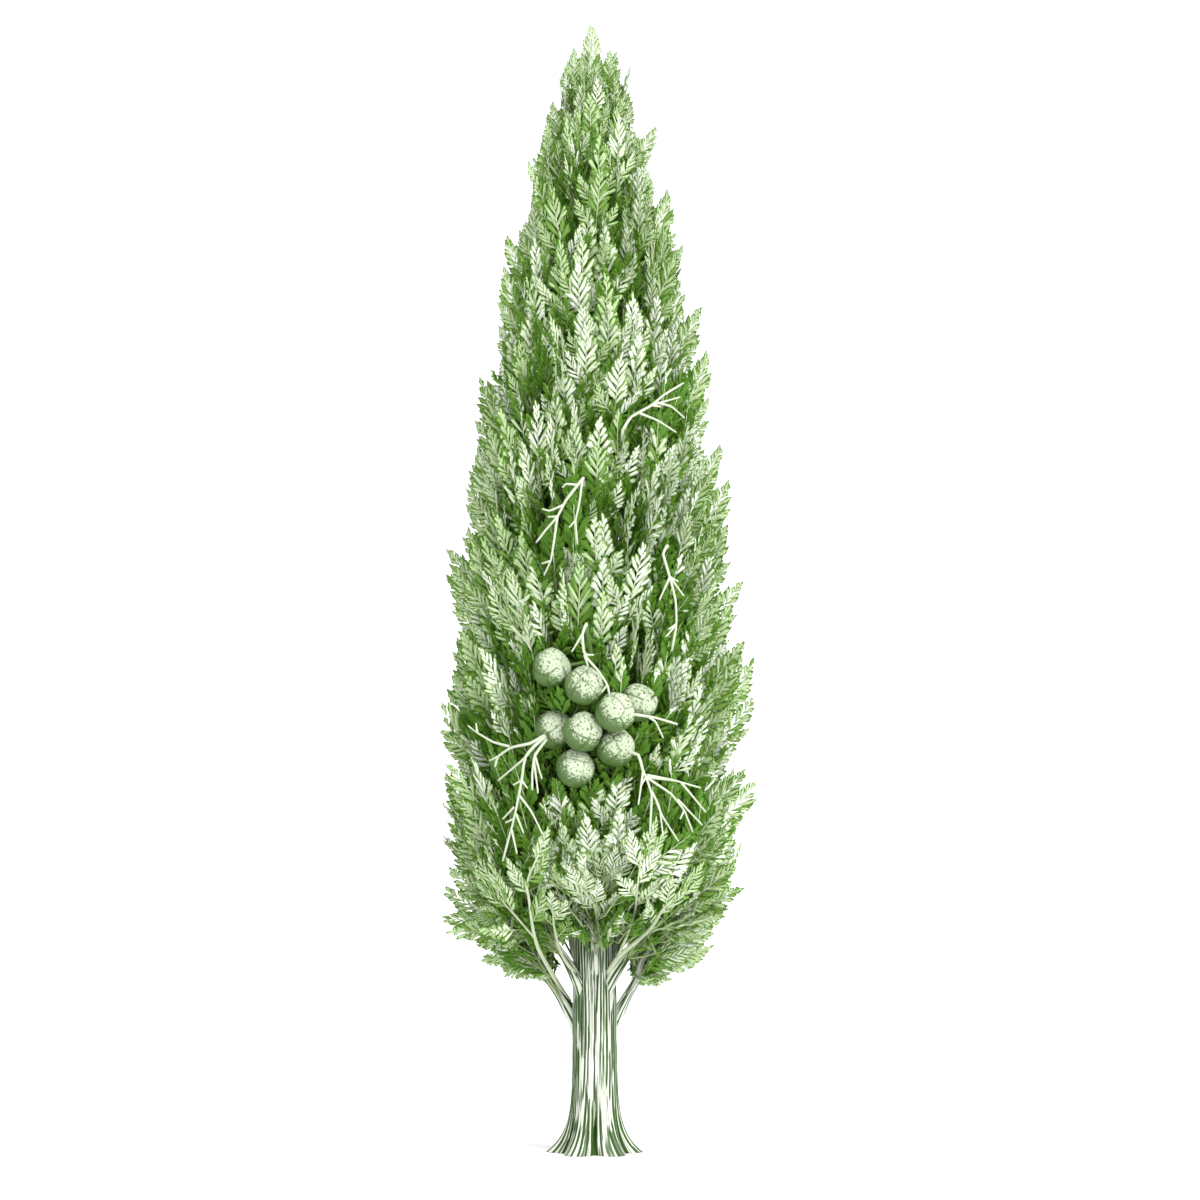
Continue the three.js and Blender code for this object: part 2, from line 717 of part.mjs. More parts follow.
function twigCount(cell) {
  const middle = (cell.floor + cell.roof) / 2;
  const z = sweepHeight(middle, coreEdge(middle));
  const width = 2 * degToRad(cell.half) * crownRadius(z);
  const rise = sweepHeight(cell.roof, coreEdge(cell.roof)) - sweepHeight(cell.floor, coreEdge(cell.floor));
  return Math.max(3, Math.round((width * rise) / AREA_PER_TWIG));
}

function twigSolids(cell, count, facePoint, limbs) {
  const random = seeded(cell.seed);
  const shift = [random(), random()];
  const solids = [];
  for (let index = 1; index <= count * TRIES && solids.length < count; index++) {
    const face = facePoint(...spread(index, shift));
    const solid = fittedTwig(cell, face, twigTraits(random), [...limbs, ...solids]);
    if (solid) solids.push(solid);
  }
  return solids;
}

// The largest closed body of a solid: loose scraps and sealed hollows are left behind.
function mainBody(solid) {
  const bodies = solid.decompose();
  return bodies.reduce((best, body) => (body.volume() > best.volume() ? body : best));
}

// The bare twigs of one mass, which start inside its core and run out along the sweep of its limbs.
function massTwigs(name, extra) {
  const lines = MASS_TWIGS[name];
  const first = onFront(lines[0][0]);
  const start = sweepStart(first.z, radiusOf(first));
  const r = coreEdge(start) * BARE_TWIG_ROOT;
  return bareTwigs(polar(r, bearingOf(first), sweepHeight(start, r)), lines, extra);
}

function massSolid(cell, limbs) {
  const bias = cell.bough ? LOW_BIAS : 1;
  const face = (a, b) => corePoint(cell, lerp(FACE_SIDE, 1 - FACE_SIDE, a), b ** bias * FACE_SHARE, 1);
  const foreign = Object.keys(MASS_TWIGS).filter((name) => name !== cell.name);
  const others = [...limbs, ...foreign.map((name) => massTwigs(name, CLEAR))];
  const own = cell.name in MASS_TWIGS ? [massTwigs(cell.name, 0)] : [];
  const twigs = twigSolids(cell, twigCount(cell), face, others);
  const cut = Manifold.union([coreSolid(cell), ...twigs]).subtract(Manifold.union(others));
  const stem = stemSolid(cell).subtract(trunkSeat);
  return mainBody(Manifold.union([cut.simplify(SIMPLER), stem, ...own]));
}

// The leader carries the trunk's line on to the top of the tree, with one spray upright at its tip.
function leaderSolid() {
  const cell = { seed: 7, bearing: FRONT, half: 180, floor: LEADER_START, roof: 2 * HEIGHT };
  const twigs = twigSolids(cell, LEADER_TWIGS, leaderPoint, []);
  const plan = sprigPlan([0, 0, 0], false);
  const foot = polar(0, 0, HEIGHT - (TWIG_LENGTH + SPRAY_LENGTH) * CREST_SIZE);
  const crest = sprigGeometry(foot, UP, new THREE.Vector3(1, 0, 0), CREST_SIZE, plan);
  return mainBody(Manifold.union([leaderHeart(), solidOf(crest), ...twigs]));
}

// The tree

const bark = new THREE.MeshStandardMaterial({ color: 0x9a8f7c, roughness: 0.9, metalness: 0 });
const leaf = new THREE.MeshStandardMaterial({ color: 0x5b7f3a, roughness: 0.75, metalness: 0 });
const cone = new THREE.MeshStandardMaterial({ color: 0xa9b492, roughness: 0.6, metalness: 0 });

function named(name, solid, material) {
  const mesh = new THREE.Mesh(geometryFrom(solid), material);
  mesh.name = name;
  return mesh;
}

const cypress = new THREE.Group();

const trunkSeat = trunkSolid(TOUCH);
const trunkClear = trunkSolid(CLEAR);
cypress.add(named("trunk", trunkSolid(0), bark));

const boughClear = BOUGHS.map((bough, i) => {
  cypress.add(named(bough.name, mainBody(boughSolid(bough, i, 0).subtract(trunkSeat)), bark));
  return boughSolid(bough, i, CLEAR);
});

const fruiting = mainBody(fruitingSolid(0).subtract(trunkSeat));
const fruitingClear = fruitingSolid(CLEAR);
cypress.add(named("fruiting_branch", fruiting, cone));

const limbs = [trunkClear, fruitingClear, ...boughClear];
for (const cell of cells()) cypress.add(named(cell.name, massSolid(cell, limbs), leaf));
cypress.add(named("foliage_top", leaderSolid(), leaf));

export default cypress;
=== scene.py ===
import math

import bpy
import numpy as np
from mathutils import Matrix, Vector


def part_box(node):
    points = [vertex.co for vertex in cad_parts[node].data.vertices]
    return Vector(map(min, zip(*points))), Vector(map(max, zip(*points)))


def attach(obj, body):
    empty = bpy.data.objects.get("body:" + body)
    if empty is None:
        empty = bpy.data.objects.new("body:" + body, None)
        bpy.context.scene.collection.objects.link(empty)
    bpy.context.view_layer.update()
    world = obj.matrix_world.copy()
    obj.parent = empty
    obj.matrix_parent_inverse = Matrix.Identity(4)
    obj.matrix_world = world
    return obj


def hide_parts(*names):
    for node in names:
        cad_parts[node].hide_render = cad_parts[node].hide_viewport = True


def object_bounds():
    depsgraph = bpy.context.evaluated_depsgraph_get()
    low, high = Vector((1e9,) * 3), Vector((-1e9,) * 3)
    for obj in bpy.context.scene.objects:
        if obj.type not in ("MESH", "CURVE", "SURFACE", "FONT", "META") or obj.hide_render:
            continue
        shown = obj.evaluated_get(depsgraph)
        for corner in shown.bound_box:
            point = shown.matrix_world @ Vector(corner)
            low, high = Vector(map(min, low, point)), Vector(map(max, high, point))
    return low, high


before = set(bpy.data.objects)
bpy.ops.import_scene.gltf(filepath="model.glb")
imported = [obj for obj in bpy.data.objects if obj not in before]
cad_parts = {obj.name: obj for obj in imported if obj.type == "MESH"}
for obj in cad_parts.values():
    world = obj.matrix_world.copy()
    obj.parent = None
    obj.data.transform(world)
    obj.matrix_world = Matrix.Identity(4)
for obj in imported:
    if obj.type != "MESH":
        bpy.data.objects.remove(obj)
cad_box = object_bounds()

# Camera
# A long lens a little above the horizon, so the tree shows its front with upright lines.
# The picture's rows and columns are real lengths at the trunk's axis.
FRAME_PIXELS = 1200
PIXEL = 0.01064  # metres
AXIS_COLUMN = 595
GROUND_ROW = 1153
VIEW_DISTANCE = 62
VIEW_ELEVATION = math.radians(1.2)
CLIP_END = 1000


def placed(name, data):
    """A new object of the scene, at the origin."""
    thing = bpy.data.objects.new(name, data)
    bpy.context.collection.objects.link(thing)
    return thing


camera = placed("camera", bpy.data.cameras.new("camera"))
bpy.context.scene.camera = camera
aim = Vector(((FRAME_PIXELS / 2 - AXIS_COLUMN) * PIXEL, 0, (GROUND_ROW - FRAME_PIXELS / 2) * PIXEL))
back = Vector((0, -math.cos(VIEW_ELEVATION), math.sin(VIEW_ELEVATION)))
camera.location = aim + back * VIEW_DISTANCE
camera.rotation_euler = (-back).to_track_quat("-Z", "Y").to_euler()
camera.data.lens = camera.data.sensor_width * VIEW_DISTANCE / (FRAME_PIXELS * PIXEL)
camera.data.clip_end = CLIP_END

# Floor and light
# A plain pale matt floor, which runs out of sight on all sides under an even white sky. One broad soft
# light from the upper right of the front gives each form a paler side.
FLOOR_HALF = 400
FLOOR_COLOUR = (0.93, 0.93, 0.92)
FLOOR_ROUGHNESS = 0.9
SKY_STRENGTH = 1.2
KEY_STRENGTH = 2.6
KEY_SPREAD = math.radians(24)
KEY_FROM = Vector((0.85, -0.85, 1.05))

scene = bpy.context.scene
scene.view_settings.view_transform = "Standard"
scene.world = bpy.data.worlds.new("sky")
scene.world.use_nodes = True
sky = scene.world.node_tree.nodes["Background"]
sky.inputs["Color"].default_value = (1, 1, 1, 1)
sky.inputs["Strength"].default_value = SKY_STRENGTH

key = placed("key", bpy.data.lights.new("key", "SUN"))
key.data.energy = KEY_STRENGTH
key.data.angle = KEY_SPREAD
key.rotation_euler = KEY_FROM.to_track_quat("Z", "Y").to_euler()


def new_material(name, colour, roughness, paint=None):
    """A Principled material of one colour, or with sockets linked to what paint makes of its node tree."""
    material = bpy.data.materials.new(name)
    material.use_nodes = True
    tree = material.node_tree
    shader = tree.nodes["Principled BSDF"]
    shader.inputs["Base Color"].default_value = (*colour, 1)
    shader.inputs["Roughness"].default_value = roughness
    for socket, output in (paint(tree) if paint else {}).items():
        tree.links.new(output, shader.inputs[socket])
    return material


floor_mesh = bpy.data.meshes.new("floor")
corners = [(x * FLOOR_HALF, y * FLOOR_HALF, 0) for x, y in ((-1, -1), (1, -1), (1, 1), (-1, 1))]
floor_mesh.from_pydata(corners, [], [(0, 1, 2, 3)])
floor_mesh.materials.append(new_material("floor", FLOOR_COLOUR, FLOOR_ROUGHNESS))
placed("floor", floor_mesh)

# Trunk
# One straight bole with a flared, lobed foot, which tapers on up through the whole crown.
# Its bark is thin, pale and fibrous, and splits into long narrow strips that wander a little sideways.
HEIGHT = cad_box[1].z
AXIS_DRIFT = -0.035  # the tip stands this far to the left of the foot
TRUNK_RADIUS = 0.243
TRUNK_TIP_RADIUS = 0.024
TRUNK_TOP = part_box("trunk")[1].z
TRUNK_TAPER = 0.9
BOLE_TOP = 1.5
FLARE_REACH = 0.285
FLARE_FADE = 0.205
FLARE_LOBES = 6
LOBE_DEPTH = 0.44
FRONT = -90  # degrees
BARE_HEIGHT = 3.1  # the bark shows in full below this
BARK_AROUND = 320
BARK_STEP = 0.014
HIDDEN_STEP = 0.15
STRIPS = 40
STRIP_DEPTH = 0.012
WANDERS = ((1.5, 6, 0.7), (0.8, 20, 2.1))  # how far a strip wanders, over how many cells a turn and a metre
FURROW_WIDTH = 0.21  # of a strip
FURROW_LENGTH = 0.42
FURROW_OPENING = 3.6
FURROW_CLOSED = 0.8
FURROW_SHARES = (2.2, 1.15)  # of that width at the sides, as painted shade, and where the bark is pale as a painted highlight
FURROW_GAPES = (1.1, -0.7)  # how much wider open the furrows stand there
FOOT_SHARE = 0.45  # of a furrow's width on the flare
FIBRES = 92
FIBRE_DEPTH = 0.004
FIBRE_RUN = 1.4  # the fibres' furrows are shorter by this
FIBRE_LOW = 0.35
FOLD_DEPTH = 0.05
FOLD_HEIGHT = 0.46
FOLD_WIDTH = 7.5  # degrees each way at the ground
FOLD_THIN = 0.02
FOLD_SLOPE = 1.6
QUARTER_TURN = 0.25
HIGHLIGHT_WIDTH = 0.13  # of a turn, at the front and the back, where the strips lie flat and pale as a painted highlight
HIGHLIGHT_FOOT = 0.4
HIGHLIGHT_LEAST = 0.25
HIGHLIGHT_CELLS = (14, 1.7)  # a turn and a metre
HIGHLIGHT_SHARE = 0.7
GRAIN_STRETCH = 0.06
BARK_PALE = (0.72, 0.75, 0.67)
BARK_DULL = (0.36, 0.40, 0.27)
# painted shade: the near-black green that fills the furrows
BARK_FURROW_SHADE = (0.016, 0.06, 0.002)
BARK_MOSS = (0.05, 0.11, 0.015)
BARK_ROUGHNESS = 0.88


def lerp(a, b, t):
    """The point at share t of the way from a to b."""
    return a + (b - a) * t


def ramp(x, start, end):
    """The share of the way from start to end, from 0 to 1."""
    return np.clip((x - start) / (end - start), 0, 1)


def axis_x(z):
    """Across the picture, the axis drifts evenly with height."""
    return AXIS_DRIFT * z / HEIGHT


def polar(r, bearing, z):
    """Points at a radius and a bearing in degrees from the leaning axis, at height z."""
    angle = np.radians(bearing)
    r, angle, z = np.broadcast_arrays(r, angle, z)
    return np.stack([axis_x(z) + r * np.cos(angle), r * np.sin(angle), z], -1)


def trunk_radius(z):
    """Full below the first boughs, then a taper to the tip by a power of the share left."""
    return lerp(TRUNK_TIP_RADIUS, TRUNK_RADIUS, (1 - ramp(z, BOLE_TOP, TRUNK_TOP)) ** TRUNK_TAPER)


HASH_STEPS = (127.1, 311.7, 74.7)
HASH_SCALE = 43758.5453


def wandering(u, v, period, seed):
    """Smooth noise from 0 to 1: hashed values on a unit lattice, eased between, that repeat in u."""
    left, low = np.floor(u), np.floor(v)
    across, up = u - left, v - low
    across, up = across * across * (3 - 2 * across), up * up * (3 - 2 * up)

    def corner(i, j):
        """The hashed value i to the right and j above, by the broken part of a large multiple of a sine."""
        across_step, up_step, seed_step = HASH_STEPS
        phase = (left + i) % period * across_step + (low + j) * up_step + seed * seed_step
        value = np.sin(phase) * HASH_SCALE
        return value - np.floor(value)

    bottom = corner(0, 0) * (1 - across) + corner(1, 0) * across
    top = corner(0, 1) * (1 - across) + corner(1, 1) * across
    return bottom * (1 - up) + top * up


def bark_ridge(turn, run, strips, seed, width=FURROW_WIDTH, gape=0):
    """Height of the bark from 0 in a furrow to 1 on a strip, by share of a turn and length along the limb.
    The furrows lie between strips of one width, wander sideways, and open and close by turns along the limb,
    less often closed where they gape."""
    place = turn * strips + sum(
        reach * wandering(turn * cells, run * rate, cells, seed + i)
        for i, (reach, cells, rate) in enumerate(WANDERS))
    furrow = np.round(place)
    opening = wandering(furrow % strips, run / FURROW_LENGTH, strips, seed + len(WANDERS))
    opening = FURROW_OPENING * opening - FURROW_CLOSED + gape
    return 1 - np.clip(opening, 0, 1) * np.exp(-(((place - furrow) / width) ** 2))


def fan_faces(ring, pole, inward):
    """Triangles from the corners of a ring to one point."""
    fan = np.stack([np.roll(ring, -1), ring, np.full_like(ring, pole)], -1)
    return fan if inward else fan[:, ::-1]


def closed_faces(rows, columns):
    """Triangles of a grid whose columns close into a ring, and of fans to two end points, numbered last."""
    row, column = np.meshgrid(np.arange(rows - 1), np.arange(columns), indexing="ij")
    a = (row * columns + column).ravel()
    b = (row * columns + (column + 1) % columns).ravel()
    ring = np.arange(columns)
    pole = rows * columns
    return np.concatenate([
        np.stack([a, b, b + columns], -1),
        np.stack([a, b + columns, a + columns], -1),
        fan_faces(ring, pole, True),
        fan_faces(ring + pole - columns, pole + 1, False),
    ])


def with_ends(grids):
    """Values of closed grids, with 0 for the two end points of each."""
    return np.concatenate([grids, np.zeros((len(grids), 2, *grids.shape[2:]))], 1)


def new_piece(name, points, faces, materials, slot, nodes, tones=None, smooth=True, values=None):
    """A mesh on the root body that stands for CAD nodes. Tones give each face's material,
    and values are attributes of the points that its material reads."""
    mesh = bpy.data.meshes.new(name)
    mesh.vertices.add(len(points))
    mesh.vertices.foreach_set("co", np.asarray(points, np.float32).ravel())
    mesh.loops.add(faces.size)
    mesh.loops.foreach_set("vertex_index", faces.astype(np.int32).ravel())
    mesh.polygons.add(len(faces))
    mesh.polygons.foreach_set("loop_start", np.arange(0, faces.size, faces.shape[1], dtype=np.int32))
    for material in materials:
        mesh.materials.append(material)
    if tones is not None:
        mesh.polygons.foreach_set("material_index", tones.astype(np.int32))
    mesh.polygons.foreach_set("use_smooth", np.full(len(faces), smooth))
    for attribute, value in (values or {}).items():
        value = np.asarray(value, np.float32)
        kind, field = ("FLOAT_VECTOR", "vector") if value.shape[-1] == 3 else ("FLOAT", "value")
        mesh.attributes.new(attribute, kind, "POINT").data.foreach_set(field, value.ravel())
    mesh.update(calc_edges=True)
    piece = placed(name, mesh)
    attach(piece, "root")
    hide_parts(*nodes)


def shade(tree, kind, output, *inputs, **values):
    """One output of a new shader node. The values are its settings or, by place or name, what its sockets
    hold or are linked to."""
    node = tree.nodes.new("ShaderNode" + kind)
    for name, value in (*values.items(), *enumerate(inputs)):
        if name in values and hasattr(node, name):
            setattr(node, name, value)
            continue
        socket = node.inputs[name.replace("_", " ") if name in values else name]
        if isinstance(value, bpy.types.NodeSocket):
            tree.links.new(value, socket)
        else:
            socket.default_value = value
    return node.outputs[output]


def mixed(tree, share, first, second):
    """A colour at a share of the way from one to another."""
    return shade(tree, "Mix", "Result", data_type="RGBA", Factor=share, A=first, B=second)


def mottle_group():
    """A shader group that shifts a colour towards another in soft patches of two sizes."""
    group = bpy.data.node_groups.new("mottle", "ShaderNodeTree")
    for name, kind in (("Colour", "Color"), ("Other", "Color"), ("Scale", "Float"), ("Share", "Float")):
        group.interface.new_socket(name, in_out="INPUT", socket_type="NodeSocket" + kind)
    group.interface.new_socket("Colour", in_out="OUTPUT", socket_type="NodeSocketColor")
    given = group.nodes.new("NodeGroupInput").outputs
    place = shade(group, "TexCoord", "Object")
    noise = shade(group, "TexNoise", "Fac", Vector=place, Scale=given["Scale"], Detail=4)
    strength = shade(group, "Math", "Value", noise, given["Share"], operation="MULTIPLY")
    colour = mixed(group, strength, given["Colour"], given["Other"])
    group.links.new(colour, group.nodes.new("NodeGroupOutput").inputs["Colour"])
    return group


MOTTLE = mottle_group()


def mottled(tree, colour, other, scale, share):
    """A mottle node with its own two colours."""
    colours = {"Colour": (*colour, 1), "Other": (*other, 1)}
    return shade(tree, "Group", "Colour", node_tree=MOTTLE, Scale=scale, Share=share, **colours)


def grain_place(radius, turn, run):
    """Where the grain of a limb is read: on a cylinder of the limb's own radius, shortened along it so that
    the grain is drawn out lengthwise."""
    angle = 2 * np.pi * turn
    parts = (radius * np.cos(angle), radius * np.sin(angle), run * GRAIN_STRETCH)
    return np.stack(np.broadcast_arrays(*parts), -1)


def paint_bark(tree):
    """Pale strips over furrows in a painted shade of deep green, by the relief's own height, split by upright
    threads of painted shadow, with fine fibres in the bump."""
    ridge = shade(tree, "Attribute", "Fac", attribute_name="ridge")
    grain = shade(tree, "Attribute", "Vector", attribute_name="grain")
    threads = shade(tree, "TexNoise", "Fac", Vector=grain, Scale=34, Detail=1)
    fibres = shade(tree, "TexNoise", "Fac", Vector=grain, Scale=190, Detail=3)
    edge = shade(tree, "MapRange", "Result", Value=ridge, From_Min=0.48, From_Max=0.74)
    split = shade(tree, "MapRange", "Result", Value=threads, From_Min=0.38, From_Max=0.43, To_Min=0.12)
    out_of_painted_shade = shade(tree, "Math", "Value", edge, split, operation="MINIMUM")
    # The deep colour is painted shade in the furrows, mottled with moss green.
    deep = mottled(tree, BARK_FURROW_SHADE, BARK_MOSS, scale=9, share=0.6)
    pale = mottled(tree, BARK_PALE, BARK_DULL, scale=5, share=0.25)
    return {
        "Base Color": mixed(tree, out_of_painted_shade, deep, pale),
        "Normal": shade(tree, "Bump", "Normal", Height=fibres, Strength=0.5, Distance=0.006),
    }


bark = new_material("bark", BARK_PALE, BARK_ROUGHNESS, paint_bark)

bark_heights = np.concatenate([
    np.arange(0, BARE_HEIGHT, BARK_STEP),
    np.arange(BARE_HEIGHT, TRUNK_TOP, HIDDEN_STEP),
    [TRUNK_TOP],
])[:, None]
bark_turns = np.arange(BARK_AROUND)[None, :] / BARK_AROUND
from_front = 360 * bark_turns - FRONT
up_foot = bark_heights / FOLD_HEIGHT
lobes = (1 + np.cos(np.radians(FLARE_LOBES * from_front))) / 2
flare = FLARE_REACH * np.exp(-bark_heights / FLARE_FADE) * (1 - LOBE_DEPTH * lobes)
half_lobe = 180 / FLARE_LOBES
from_fold = np.abs((from_front + half_lobe) % (2 * half_lobe) - half_lobe)
# The fold between two lobes of the foot is cut in, and its bark is darkened there as painted shade.
fold_and_painted_shade = np.clip(FOLD_SLOPE * (1 - from_fold / (FOLD_WIDTH * np.clip(1 - up_foot, FOLD_THIN, 1))), 0, 1)
# Painted light: at the front and the back the strips lie flat and pale as a painted highlight, and at the
# sides the wider, more open furrows are painted shade.
from_highlight = (bark_turns - FRONT / 360 + QUARTER_TURN) % (2 * QUARTER_TURN) - QUARTER_TURN
painted_light_and_shade = np.exp(-((from_highlight / HIGHLIGHT_WIDTH) ** 2))
painted_light_and_shade = painted_light_and_shade * np.clip(up_foot - HIGHLIGHT_FOOT, HIGHLIGHT_LEAST, 1)
furrow_width = FURROW_WIDTH * lerp(*FURROW_SHARES, painted_light_and_shade) * lerp(FOOT_SHARE, 1, np.clip(up_foot, 0, 1))
gape = lerp(*FURROW_GAPES, painted_light_and_shade)
strip_ridge = bark_ridge(bark_turns, bark_heights, STRIPS, seed=3, width=furrow_width, gape=gape)
highlight_patches = wandering(bark_turns * HIGHLIGHT_CELLS[0], bark_heights * HIGHLIGHT_CELLS[1], HIGHLIGHT_CELLS[0], seed=21)
strip_ridge = lerp(strip_ridge, 1, HIGHLIGHT_SHARE * painted_light_and_shade * highlight_patches)
fibre_ridge = bark_ridge(bark_turns, bark_heights * FIBRE_RUN, FIBRES, seed=11)
relief = STRIP_DEPTH * (strip_ridge - 1) + FIBRE_DEPTH * (fibre_ridge - 1)
relief = relief * trunk_radius(bark_heights) / TRUNK_RADIUS - FOLD_DEPTH * fold_and_painted_shade
# The colour follows this ridge: painted shade in the furrows of the strips and the fibres.
trunk_ridge = np.minimum(strip_ridge, lerp(FIBRE_LOW, 1, fibre_ridge)) * (1 - fold_and_painted_shade)
trunk_points = polar(trunk_radius(bark_heights) + flare + relief, 360 * bark_turns, bark_heights)
trunk_grain = grain_place(TRUNK_RADIUS, bark_turns, bark_heights)
new_piece(
    "trunk_bark",
    np.concatenate([trunk_points.reshape(-1, 3), [[0, 0, 0], [axis_x(TRUNK_TOP), 0, TRUNK_TOP]]]),
    closed_faces(len(bark_heights), BARK_AROUND),
    [bark],
    "bark",
    ["trunk"],
    values={
        "ridge": with_ends(trunk_ridge.reshape(1, -1)),
        "grain": with_ends(trunk_grain.reshape(1, -1, 3)),
    },
)

# The crown's outline and spaces
# Limbs sweep up in bowls round the axis, and a mass fills the space between two bowls and two bearings.
# The crown's outline is a spindle, blunt at the foot and drawn out to a point at the top.
CROWN_FOOT = 1.78
CROWN_WIDEST = 4.2
CROWN_RADIUS = 1.6
CROWN_CURVES = ((3, 0.35), (1.5, 0.72))  # inner and outer powers below the widest height and above it
SWEEP_START = 1.65
SWEEP_FOOT = 0.25
SWEEP_GAIN = 0.194
CORE_INSET = 0.06
CORE_INSET_SHARE = 0.22
HIGH_FLOOR = 0.3
EDGE_STEPS = 24
TIER_SEED = 100
LEADER_START = 10.1
SWELLINGS = np.array([  # bearing, height, reach
    (180, 11.15, 0.2),
    (0, 9.25, 0.15),
    (0, 8.5, 0.08),
    (0, 6.0, 0.15),
    (180, 5.9, 0.08),
    (180, 3.45, 0.2),
    (0, 2.2, 0.12),
])
SWELLING_TURN = 42
SWELLING_RISE = 0.6
LOW_MASSES = ("foliage_1_3", "foliage_1_6")
TIER_STARTS = (1.65, 3.0, 4.05, 5.2, 6.4, 7.7, 8.95, LEADER_START)
TIER_MASSES = (7, 6, 6, 6, 5, 4, 3)
TIER_BEARINGS = (FRONT, FRONT + 30, FRONT, FRONT + 30, FRONT, FRONT + 45, FRONT)


def radius_of(points):
    """Distance from the leaning axis."""
    return np.hypot(points[..., 0] - axis_x(points[..., 2]), points[..., 1])


def bearing_of(points):
    """Bearing from the leaning axis, in degrees."""
    return np.degrees(np.arctan2(points[..., 1], points[..., 0] - axis_x(points[..., 2])))


def signed_turn(degrees):
    """The same turn, from -180 to 180 degrees."""
    return (degrees + 180) % 360 - 180


def crown_radius(z):
    """R(1 - t^p)^q, with other powers above the widest height than below. Each t goes from 0 there to 1."""
    low, high = ((1 - ramp(z, CROWN_WIDEST, end) ** inner) ** outer
                 for end, (inner, outer) in zip((CROWN_FOOT, HEIGHT), CROWN_CURVES))
    return CROWN_RADIUS * np.where(z < CROWN_WIDEST, low, high)


def swelling(points):
    """How much further the crown's leaves reach about its swellings, each a bell over bearing and height."""
    turn = signed_turn(bearing_of(points)[..., None] - SWELLINGS[:, 0])
    rise = points[..., 2, None] - SWELLINGS[:, 1]
    return (SWELLINGS[:, 2] * np.exp(-((turn / SWELLING_TURN) ** 2) - (rise / SWELLING_RISE) ** 2)).sum(-1)


def core_radius(z):
    """The dense heart of the crown stops short of its outline."""
    return np.maximum(crown_radius(z) * (1 - CORE_INSET_SHARE) - CORE_INSET, 0)


def sweep_height(start, r):
    """Height at radius r of the bowl that leaves the axis at start: a parabola, steeper higher up."""
    return start + (SWEEP_FOOT + SWEEP_GAIN * (start - SWEEP_START)) * r * r


def sweep_start(z, r):
    """The start of the bowl that passes through radius r at height z."""
    return (z - (SWEEP_FOOT - SWEEP_GAIN * SWEEP_START) * r * r) / (1 + SWEEP_GAIN * r * r)


def halve(high, inside, steps):
    """The greatest value from 0 to high that is inside, found by halving."""
    low = 0 * high
    for _ in range(steps):
        middle = (low + high) / 2
        held = inside(middle)
        low, high = np.where(held, middle, low), np.where(held, high, middle)
    return low


def core_edge(start):
    """The radius at which a bowl comes out of the crown's heart."""
    return halve(CROWN_RADIUS + 0 * start, lambda r: r < core_radius(sweep_height(start, r)), EDGE_STEPS)


masses = []
for tier, count in enumerate(TIER_MASSES):
    for i in range(count):
        name = f"foliage_{tier + 1}_{i + 1}"
        masses.append({
            "name": name,
            "tier": tier,
            "seed": TIER_SEED * (tier + 1) + i,
            "bearing": TIER_BEARINGS[tier] + 360 * i / count,
            "half": 180 / count,
            "floor": TIER_STARTS[tier] + (HIGH_FLOOR if tier == 0 and name not in LOW_MASSES else 0),
            "roof": TIER_STARTS[tier + 1],
        })

# Boughs
# Seven ascending limbs under the crown, each with its collar on the trunk, which run on into their masses and
# fork there. Higher up a limb leaves the trunk for each mass, hidden by the leaves.
BOUGHS = (  # name, height on the trunk, radius, and the radius and height at which it enters its mass
    ("bough_front", 2.04, 0.046, 0.43, 2.44),
    ("bough_front_right", 1.88, 0.064, 0.86, 2.62),
    ("bough_right", 1.43, 0.074, 0.545, 2.06),
    ("bough_back_right", 1.7, 0.056, 0.64, 2.42),
    ("bough_back_left", 1.66, 0.056, 0.66, 2.44),
    ("bough_left", 1.44, 0.076, 0.61, 2.08),
    ("bough_front_left", 1.85, 0.062, 0.64, 2.48),
)
BOUGH_SUNK = 0.1
BOUGH_PEEL = 0.4  # a bough runs up within the trunk over this height before it leaves it
BOUGH_BENDS = ((0.3, 0.3), (0.75, 0.66))  # shares out and up of its way to its mass
BOUGH_IN_MASS = 0.55
BOUGH_END = (0.93, 0.25)  # share of the way to the face of the crown's heart, and height above its bowl
BOUGH_ROOT_RADIUS = 0.55
BOUGH_ROOT_END = 0.15
BOUGH_COLLAR = (0.3, 0.2, 0.12)  # how much thicker, and the middle and width as shares of its way
BOUGH_TIP = 0.22
BOUGH_TAPER = 0.8
BOUGH_STATIONS = 90
BOUGH_SIDES = 32
BOUGH_STRIPS = 11
BOUGH_RUN = 2
BOUGH_RUN_STEP = 3.7  # between the bark patterns of two boughs
BOUGH_FURROWS = (2, 0.9)  # shares of the trunk's furrow width where a bough leaves the trunk and further out
BOUGH_ROOT = 0.22
BOUGH_SMOOTH = (0.35, 0.6)  # between these shares of its way the bark gets smooth
BOUGH_SMOOTH_SHARE = 0.8
BOUGH_RELIEF = 0.16  # of its radius
BOUGH_LEVEL = 0.8
UNDERSIDE_SHADE_FACING = (0.55, 0.7)  # the bark of a bough to the side is dark where it faces down by more: painted shade on its underside
UNDERSIDE_LEAST_SLOPE = 0.1
UNDERSIDE_SHADE_ROOT = 0.17  # the painted shade starts at this share of the bough's way and is full at twice that
UNDERSIDE_SHADE_SHARE = 0.9
SIDE_REFERENCE = np.array([0.31, 0.95, 0.05])


def smooth_path(points, count):
    """Points along a Catmull-Rom curve through a few."""
    points = np.asarray(points, float)
    points = np.concatenate([[2 * points[0] - points[1]], points, [2 * points[-1] - points[-2]]])
    t = np.linspace(0, len(points) - 3, count)
    i = np.minimum(t.astype(int), len(points) - 4)
    t = (t - i)[:, None]
    a, b, c, d = (points[i + k] for k in range(4))
    return 0.5 * (2 * b + (c - a) * t + (2 * a - 5 * b + 4 * c - d) * t**2 + (3 * b - a - 3 * c + d) * t**3)


